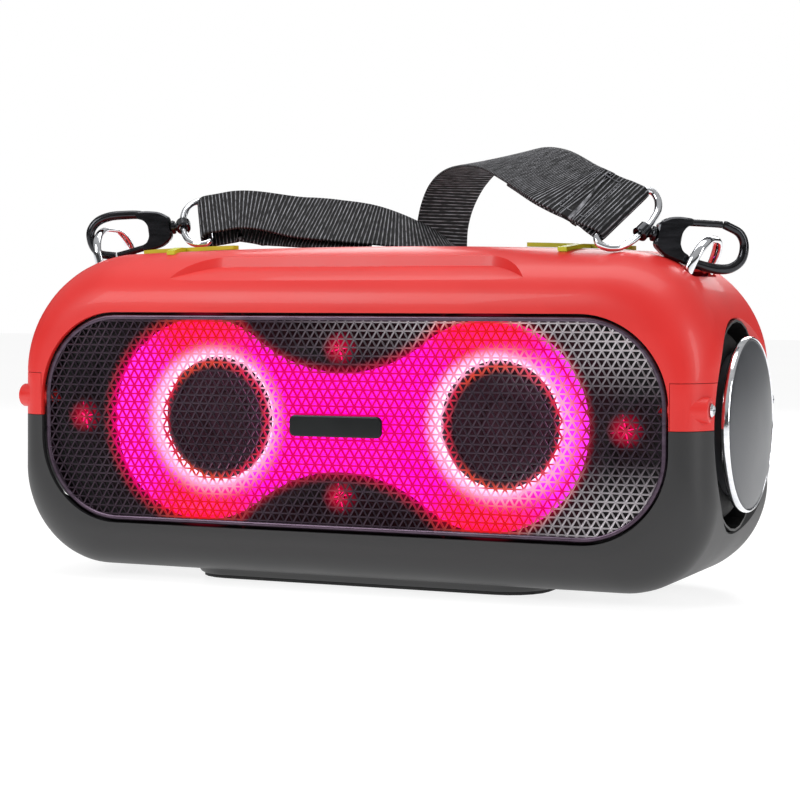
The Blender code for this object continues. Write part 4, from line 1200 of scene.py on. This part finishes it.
class Fold:
    """Frame of the webbing's end at a ring: out along the webbing, up away from the body, w along the bar."""

    def __init__(self, side, toward):
        hook = Hook(side)
        self.bar, self.w = hook.bar, hook.w
        out = Vector(toward) - hook.bar
        self.out = (out - hook.w * out.dot(hook.w)).normalized()
        self.up = hook.w.cross(self.out)
        if self.up.z < 0:
            self.up = -self.up

    def at(self, along, rise, across=0.0):
        return self.bar + self.out * along + self.up * rise + self.w * across


def web_section(rise):
    """Outline of the webbing: flat faces that rise and fall with the ribs, and rounded, denser edges."""
    half, thick = WEB_HALF, WEB_THICKNESS / 2
    side = [(half - 2.2, thick - 0.12 + rise), (half - 1.5, thick - 0.1), (half - 0.7, thick - 0.05)]
    return close_section(side + [(half - 0.15, thick - 0.35), (half, 0.0)])


def close_section(side):
    """Mirrors the outline of one quarter into the whole section, anticlockwise."""
    lower_right = [(a, -b) for a, b in side]
    upper_right = list(reversed(side))[1:]
    upper_left = [(-a, b) for a, b in side]
    lower_left = [(-a, -b) for a, b in reversed(side)][1:]
    return lower_right + upper_right + upper_left + lower_left


def weave(name, path, widths, extra=()):
    """Sweeps ribbed webbing along a path, with a UV layout of metres along and across it."""
    points, across, length = even_path(path, widths, RIB_PITCH / 6)
    step = length / (len(points) - 1)
    sections = [web_section(0.2 * math.sin(math.tau * i * step / RIB_PITCH)) for i in range(len(points))]
    count = len(sections[0])
    mesh = sweep(points, sections, across)
    layout = mesh.uv_layers.new(name="weave")
    wide = [section_point[0] for section_point in sections[0]]
    for loop in mesh.loops:
        ring, spot = divmod(loop.vertex_index, count)
        layout.data[loop.index].uv = (ring * step * MM, wide[spot] * MM)
    item = add_object(name, mesh, WEBBING, 60)
    if extra:
        add_stitches(item, extra)
    return item, length


def add_stitches(item, stitches):
    """Adds sewn stitches: small bars of thread between pairs of points, standing proud of the webbing."""
    item.data.materials.append(THREAD)
    work = bmesh.new()
    work.from_mesh(item.data)
    for start, end, up in stitches:
        along = (end - start).normalized()
        side = along.cross(up).normalized()
        ring = []
        for share, size in ((0.0, 0.12), (0.2, 0.32), (0.8, 0.32), (1.0, 0.12)):
            centre = start.lerp(end, share)
            ring.append([
                work.verts.new((centre + side * size * math.cos(t) + up * size * 0.8 * math.sin(t)) * MM)
                for t in (math.tau * i / 6 for i in range(6))
            ])
        for low, high in zip(ring, ring[1:]):
            for i in range(6):
                face = work.faces.new((low[i], low[(i + 1) % 6], high[(i + 1) % 6], high[i]))
                face.material_index = 1
        for cap in (ring[0], ring[-1]):
            work.faces.new(cap).material_index = 1
    bmesh.ops.recalc_face_normals(work, faces=work.faces)
    work.to_mesh(item.data)
    work.free()
    item.data.shade_smooth()


def stitch_box(points, across, low, high, half, up):
    """Box of stitches on the webbing's face, low to high from the end of a path and half each way across."""
    def spot(ahead, aside):
        gone, i = 0.0, len(points) - 1
        while i > 1 and gone < ahead:
            gone += (points[i] - points[i - 1]).length
            i -= 1
        along = (points[i] - points[i - 1]).normalized()
        wide = (across[i] - along * across[i].dot(along)).normalized()
        normal = along.cross(wide)
        normal *= math.copysign(1, normal.dot(up))
        return points[i] + wide * aside + normal * (WEB_THICKNESS / 2 + 0.12), normal

    corners = [(low, -half), (high, -half), (high, half), (low, half)]
    lines = list(zip(corners, corners[1:] + corners[:1]))
    found = []
    for (a0, c0), (a1, c1) in lines:
        count = round(math.hypot(a1 - a0, c1 - c0) / 2.3)
        for i in range(count):
            s, e = (i + 0.1) / count, (i + 0.9) / count
            start, normal = spot(a0 + (a1 - a0) * s, c0 + (c1 - c0) * s)
            end = spot(a0 + (a1 - a0) * e, c0 + (c1 - c0) * e)[0]
            found.append((start, end, normal))
    return found


def blend_between(start, start_widths, end, end_widths, index):
    """The first path carried on by one smooth curve to a point of the second."""
    p, q = start[-1], end[index]
    reach = (q - p).length
    out, back = (p - start[-4]).normalized() * reach, (end[index + 3] - q).normalized() * reach
    path, widths = list(start), list(start_widths)
    for i in range(1, 61):
        t = i / 61
        a, b, c, d = 2 * t**3 - 3 * t**2 + 1, t**3 - 2 * t**2 + t, -2 * t**3 + 3 * t**2, t**3 - t**2
        path.append(p * a + out * b + q * c + back * d)
        widths.append(start_widths[-1].lerp(end_widths[index], 3 * t**2 - 2 * t**3))
    return path, widths


def make_webbing():
    left = Fold(-1, (-80.0, 19.5, 193.5))
    right = Fold(1, (113.7, -24.0, 209.0))
    route = [(left.at(FOLD_LENGTH + ahead, FOLD_RADIUS), left.w) for ahead in (0.3, 3, 7)]
    route += WEBBING_ROUTE
    route += [(right.at(FOLD_LENGTH + ahead, 0), right.w) for ahead in (7, 3, 0.3)]
    centres = smooth_path([centre for centre, _ in route], 85)
    widths = [Vector(width).normalized() for width in smooth_path([width for _, width in route], 85)]

    tail, tail_widths = [], []
    for i, (centre, width) in enumerate(zip(centres[8:18], widths[8:18])):
        under = (centres[i + 9] - centre).cross(width).normalized()
        tail.insert(0, centre - under * math.copysign(9.0 - 0.7 * i, under.z))
        tail_widths.insert(0, width)
    turn = [left.at(along, -FOLD_RADIUS) for along in (FOLD_LENGTH + 3, FOLD_LENGTH, 7)]
    for t in range(270, 89, -30):
        angle = math.radians(t)
        turn.append(left.at(FOLD_RADIUS * math.cos(angle), FOLD_RADIUS * math.sin(angle)))
    turn += [left.at(7, FOLD_RADIUS)]
    turn += [left.at(FOLD_LENGTH - 2, FOLD_RADIUS + 0.1)]
    near = tail + turn
    near_widths = tail_widths + [left.w] * len(turn)
    start_path = smooth_path(near, 12 * len(near))
    start_widths = [Vector(w) for w in smooth_path(near_widths, 12 * len(near))]
    fine = smooth_path([centre for centre, _ in route], ROUTE_STEPS + 1)
    fine_widths = [Vector(w) for w in smooth_path([width for _, width in route], ROUTE_STEPS + 1)]
    middle = (len(fine) - 1) * LOWEST // (len(route) - 1)
    join = 240
    path, path_widths = blend_between(start_path, start_widths, fine, fine_widths, join)
    path += fine[join : middle + 1]
    path_widths += fine_widths[join : middle + 1]
    item, first = weave("strap_near_left", path, path_widths)
    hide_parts("strap_webbing", "strap_tail", "left_webbing_end")
    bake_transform(item)

    ahead = fine[middle:-75] + [right.at(FOLD_LENGTH + 1, 0.3), right.at(11, 1.0), right.at(7, 2.0)]
    ahead_widths = fine_widths[middle:-75] + [right.w] * 3
    stitches = stitch_box(ahead, ahead_widths, 2.0, 19.0, 15.5, right.up)
    angles = [math.radians(i) for i in range(70, 291, 20)]
    turn = [right.at(3.0 * math.cos(t), 3.0 * math.sin(t)) for t in angles]
    turn += [right.at(7, -2.0), right.at(11, -1.0), right.at(FOLD_LENGTH + 1, -1.3)]
    under, under_widths = [], []
    for i in range(len(fine) - 40, len(fine) - 230, -12):
        normal = (fine[i] - fine[i - 1]).cross(fine_widths[i]).normalized()
        under.append(fine[i] - normal * math.copysign(1.8, normal.dot(right.up)))
        under_widths.append(fine_widths[i])
    knots = ahead[-3:] + turn + under
    knot_widths = [right.w] * (3 + len(turn)) + under_widths
    end_path = smooth_path(knots, 10 * len(knots))
    end_widths = [Vector(w) for w in smooth_path(knot_widths, 10 * len(knots))]
    path, path_widths = ahead[:-3] + end_path, ahead_widths[:-3] + end_widths
    item, second = weave("strap_near_right", path, path_widths, stitches)
    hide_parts("strap_webbing", "right_webbing_end")
    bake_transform(item)


# ---------------------------------------------------------------- pieces that keep their CAD shape


def dress(material, *names, edge=0.0):
    """Gives CAD nodes whose shape is right their finish, and rounds their edges."""
    for name in names:
        item = NODES[name]
        for material_slot in item.material_slots:
            material_slot.material = material
        if not item.material_slots:
            item.data.materials.append(material)
        if edge:
            soften(item, edge)


def make_key_mark(name, index, outlines):
    """Raised generic mark on a key: plain bars, plus, minus, triangle or dot."""
    middle = (PANEL_Y[0] + PANEL_Y[1]) / 2
    work = bmesh.new()
    for points in outlines:
        ring = [Vector((KEY_PITCH * (index - 2) + x, middle + y, 0)) for x, y in points]
        low = [work.verts.new((p + Vector((0, 0, PANEL_TOP + 0.6))) * MM) for p in ring]
        high = [work.verts.new((p + Vector((0, 0, PANEL_TOP + 1.0))) * MM) for p in ring]
        for i in range(len(ring)):
            j = (i + 1) % len(ring)
            work.faces.new((low[i], low[j], high[j], high[i]))
        work.faces.new(low)
        work.faces.new(high)
    piece(f"{name}_mark", mesh_of(work), MARK, body=name)


def bar_mark(x, y, half_x, half_y):
    low_x, high_x, low_y, high_y = x - half_x, x + half_x, y - half_y, y + half_y
    return [(low_x, low_y), (high_x, low_y), (high_x, high_y), (low_x, high_y)]


def ring_mark(radius, low, high):
    """An arc as short bars."""
    found = []
    for t in range(low, high, 20):
        quad = []
        for angle, size in ((t, radius), (t + 20, radius), (t + 20, radius + 0.5), (t, radius + 0.5)):
            quad.append((size * math.cos(math.radians(angle)), size * math.sin(math.radians(angle))))
        found.append(quad)
    return found


def make_top():
    dress(BLACK, "control_panel", edge=0.5)
    keys = ("power_key", "minus_key", "play_key", "plus_key", "light_key")
    dress(RUBBER, *keys, edge=0.3)
    marks = (
        ring_mark(1.9, 120, 420) + [bar_mark(0, 1.5, 0.25, 1.2)],
        [bar_mark(0, 0, 2.2, 0.3)],
        [[(-1.4, -2.0), (2.2, 0), (-1.4, 2.0)]],
        [bar_mark(0, 0, 2.2, 0.3), bar_mark(0, 1.35, 0.3, 0.85), bar_mark(0, -1.35, 0.3, 0.85)],
        ring_mark(1.5, 0, 360) + [bar_mark(0, -2.9, 0.3, 0.6), bar_mark(0, 2.9, 0.3, 0.6)],
    )
    for i, (name, outlines) in enumerate(zip(keys, marks)):
        make_key_mark(name, i, outlines)
    dress(LIME, "left_accent", "right_accent", edge=0.8)
    dress(RUBBER, "port_door", edge=0.6)
    dress(RUBBER, "foot_pad", edge=0.4)


def make_inside():
    dress(BLACK, "port_board", edge=0.2)
    dress(BOARD, "main_board", "led_board", edge=0.2)
    dress(WRAP, "battery_pack", edge=2.5)
    for side in ("left", "right"):
        dress(BLACK, f"{side}_driver_basket", edge=0.4)
        dress(STEEL, f"{side}_driver_magnet", edge=1.0)
        dress(BLACK, f"{side}_radiator_frame")
        dress(CHROME, *(f"{end}_{side}_screw" for end in ("front", "rear")), edge=0.25)


# ---------------------------------------------------------------- studio


def aim(item, spot, target):
    item.location = Vector(spot)
    item.rotation_euler = (Vector(target) - Vector(spot)).to_track_quat("-Z", "Y").to_euler()


def make_light(name, spot, target, size, power, colour=(1, 1, 1)):
    lamp = bpy.data.lights.new(name, "AREA")
    lamp.shape = "RECTANGLE"
    lamp.size, lamp.size_y = size
    lamp.energy = power
    lamp.color = colour
    aim(new_item(name, lamp), spot, target)


def make_camera():
    camera = bpy.data.cameras.new("camera")
    camera.lens, camera.sensor_width = CAMERA_LENS, 36.0
    camera.clip_start, camera.clip_end = 0.05, 20
    item = new_item("camera", camera)
    turn, drop, spot = CAMERA_TURN, CAMERA_DROP, CAMERA_SPOT
    ahead = Vector((-math.sin(turn) * math.cos(drop), math.cos(turn) * math.cos(drop), -math.sin(drop)))
    aim(item, spot, spot + ahead)
    bpy.context.scene.camera = item


def make_floor():
    floor_mesh = bpy.data.meshes.new("floor")
    reach = 6.0
    corners = [(x * reach, y * reach, 0) for x, y in ((-1, -1), (1, -1), (1, 1), (-1, 1))]
    floor_mesh.from_pydata(corners, [], [(0, 1, 2, 3)])
    floor = new_item("floor", floor_mesh)
    floor.location.z = -0.0005
    tones = ((0.42,) * 3, (0.44,) * 3)
    paper = Finish("floor_paper", *tones, 400, (0.24, 0.26), 0.02, Specular_IOR_Level=0.3)
    paper.glow((1, 1, 1, 1), 0.8)
    floor_mesh.materials.append(paper.material)


def make_world():
    """Lit by a grey sky with a dark band above the horizon, while the camera sees plain white."""
    world = bpy.data.worlds.new("studio")
    world.use_nodes = True
    nodes, links = world.node_tree.nodes, world.node_tree.links
    ground = nodes["Background"]
    ground.inputs["Strength"].default_value = 0.5
    direction = nodes.new("ShaderNodeTexCoord")
    parts = nodes.new("ShaderNodeSeparateXYZ")
    links.new(direction.outputs["Generated"], parts.inputs[0])
    ramp = nodes.new("ShaderNodeValToRGB")
    stops = ramp.color_ramp.elements
    stops[0].position, stops[0].color = 0.0, (0.5, 0.5, 0.5, 1)
    stops[1].position, stops[1].color = 1.0, (1, 1, 1, 1)
    for position, level in ((0.04, 0.12), (0.22, 0.10), (0.34, 0.75)):
        stops.new(position).color = (level, level, level, 1)
    links.new(parts.outputs[2], ramp.inputs[0])
    links.new(ramp.outputs[0], ground.inputs["Color"])
    white = nodes.new("ShaderNodeBackground")
    white.inputs["Color"].default_value = (1, 1, 1, 1)
    white.inputs["Strength"].default_value = 1.0
    blend = nodes.new("ShaderNodeMixShader")
    path = nodes.new("ShaderNodeLightPath")
    links.new(path.outputs["Is Camera Ray"], blend.inputs[0])
    links.new(ground.outputs[0], blend.inputs[1])
    links.new(white.outputs[0], blend.inputs[2])
    links.new(blend.outputs[0], nodes["World Output"].inputs["Surface"])
    bpy.context.scene.world = world


def make_studio():
    make_camera()
    make_floor()
    make_world()
    bpy.context.scene.view_settings.view_transform = "Standard"
    make_light("overhead", (0.0, 0.05, 1.1), (0, 0, 0.1), (1.1, 0.5), 5.5)
    make_light("key", (-0.8, -1.3, 0.9), (0, 0, 0.1), (0.7, 0.7), 11.5)
    make_light("side", (1.5, -0.3, 0.6), (0.1, 0, 0.1), (0.3, 0.9), 6.5)
    make_light("rear", (-0.3, 1.4, 0.8), (0, 0, 0.1), (1.2, 0.5), 8)


MARK = plain("key_mark", (205, 205, 208), (225, 225, 228), 3, (0.4, 0.5), 0.05)

make_studio()
make_shells()
make_front()
make_top()
make_inside()
for side_sign, side_name in ((-1, "left"), (1, "right")):
    make_driver(side_sign, side_name)
    make_radiator(side_sign, side_name)
    make_loop(side_sign, side_name)
    make_hook(side_sign, side_name)
make_webbing()
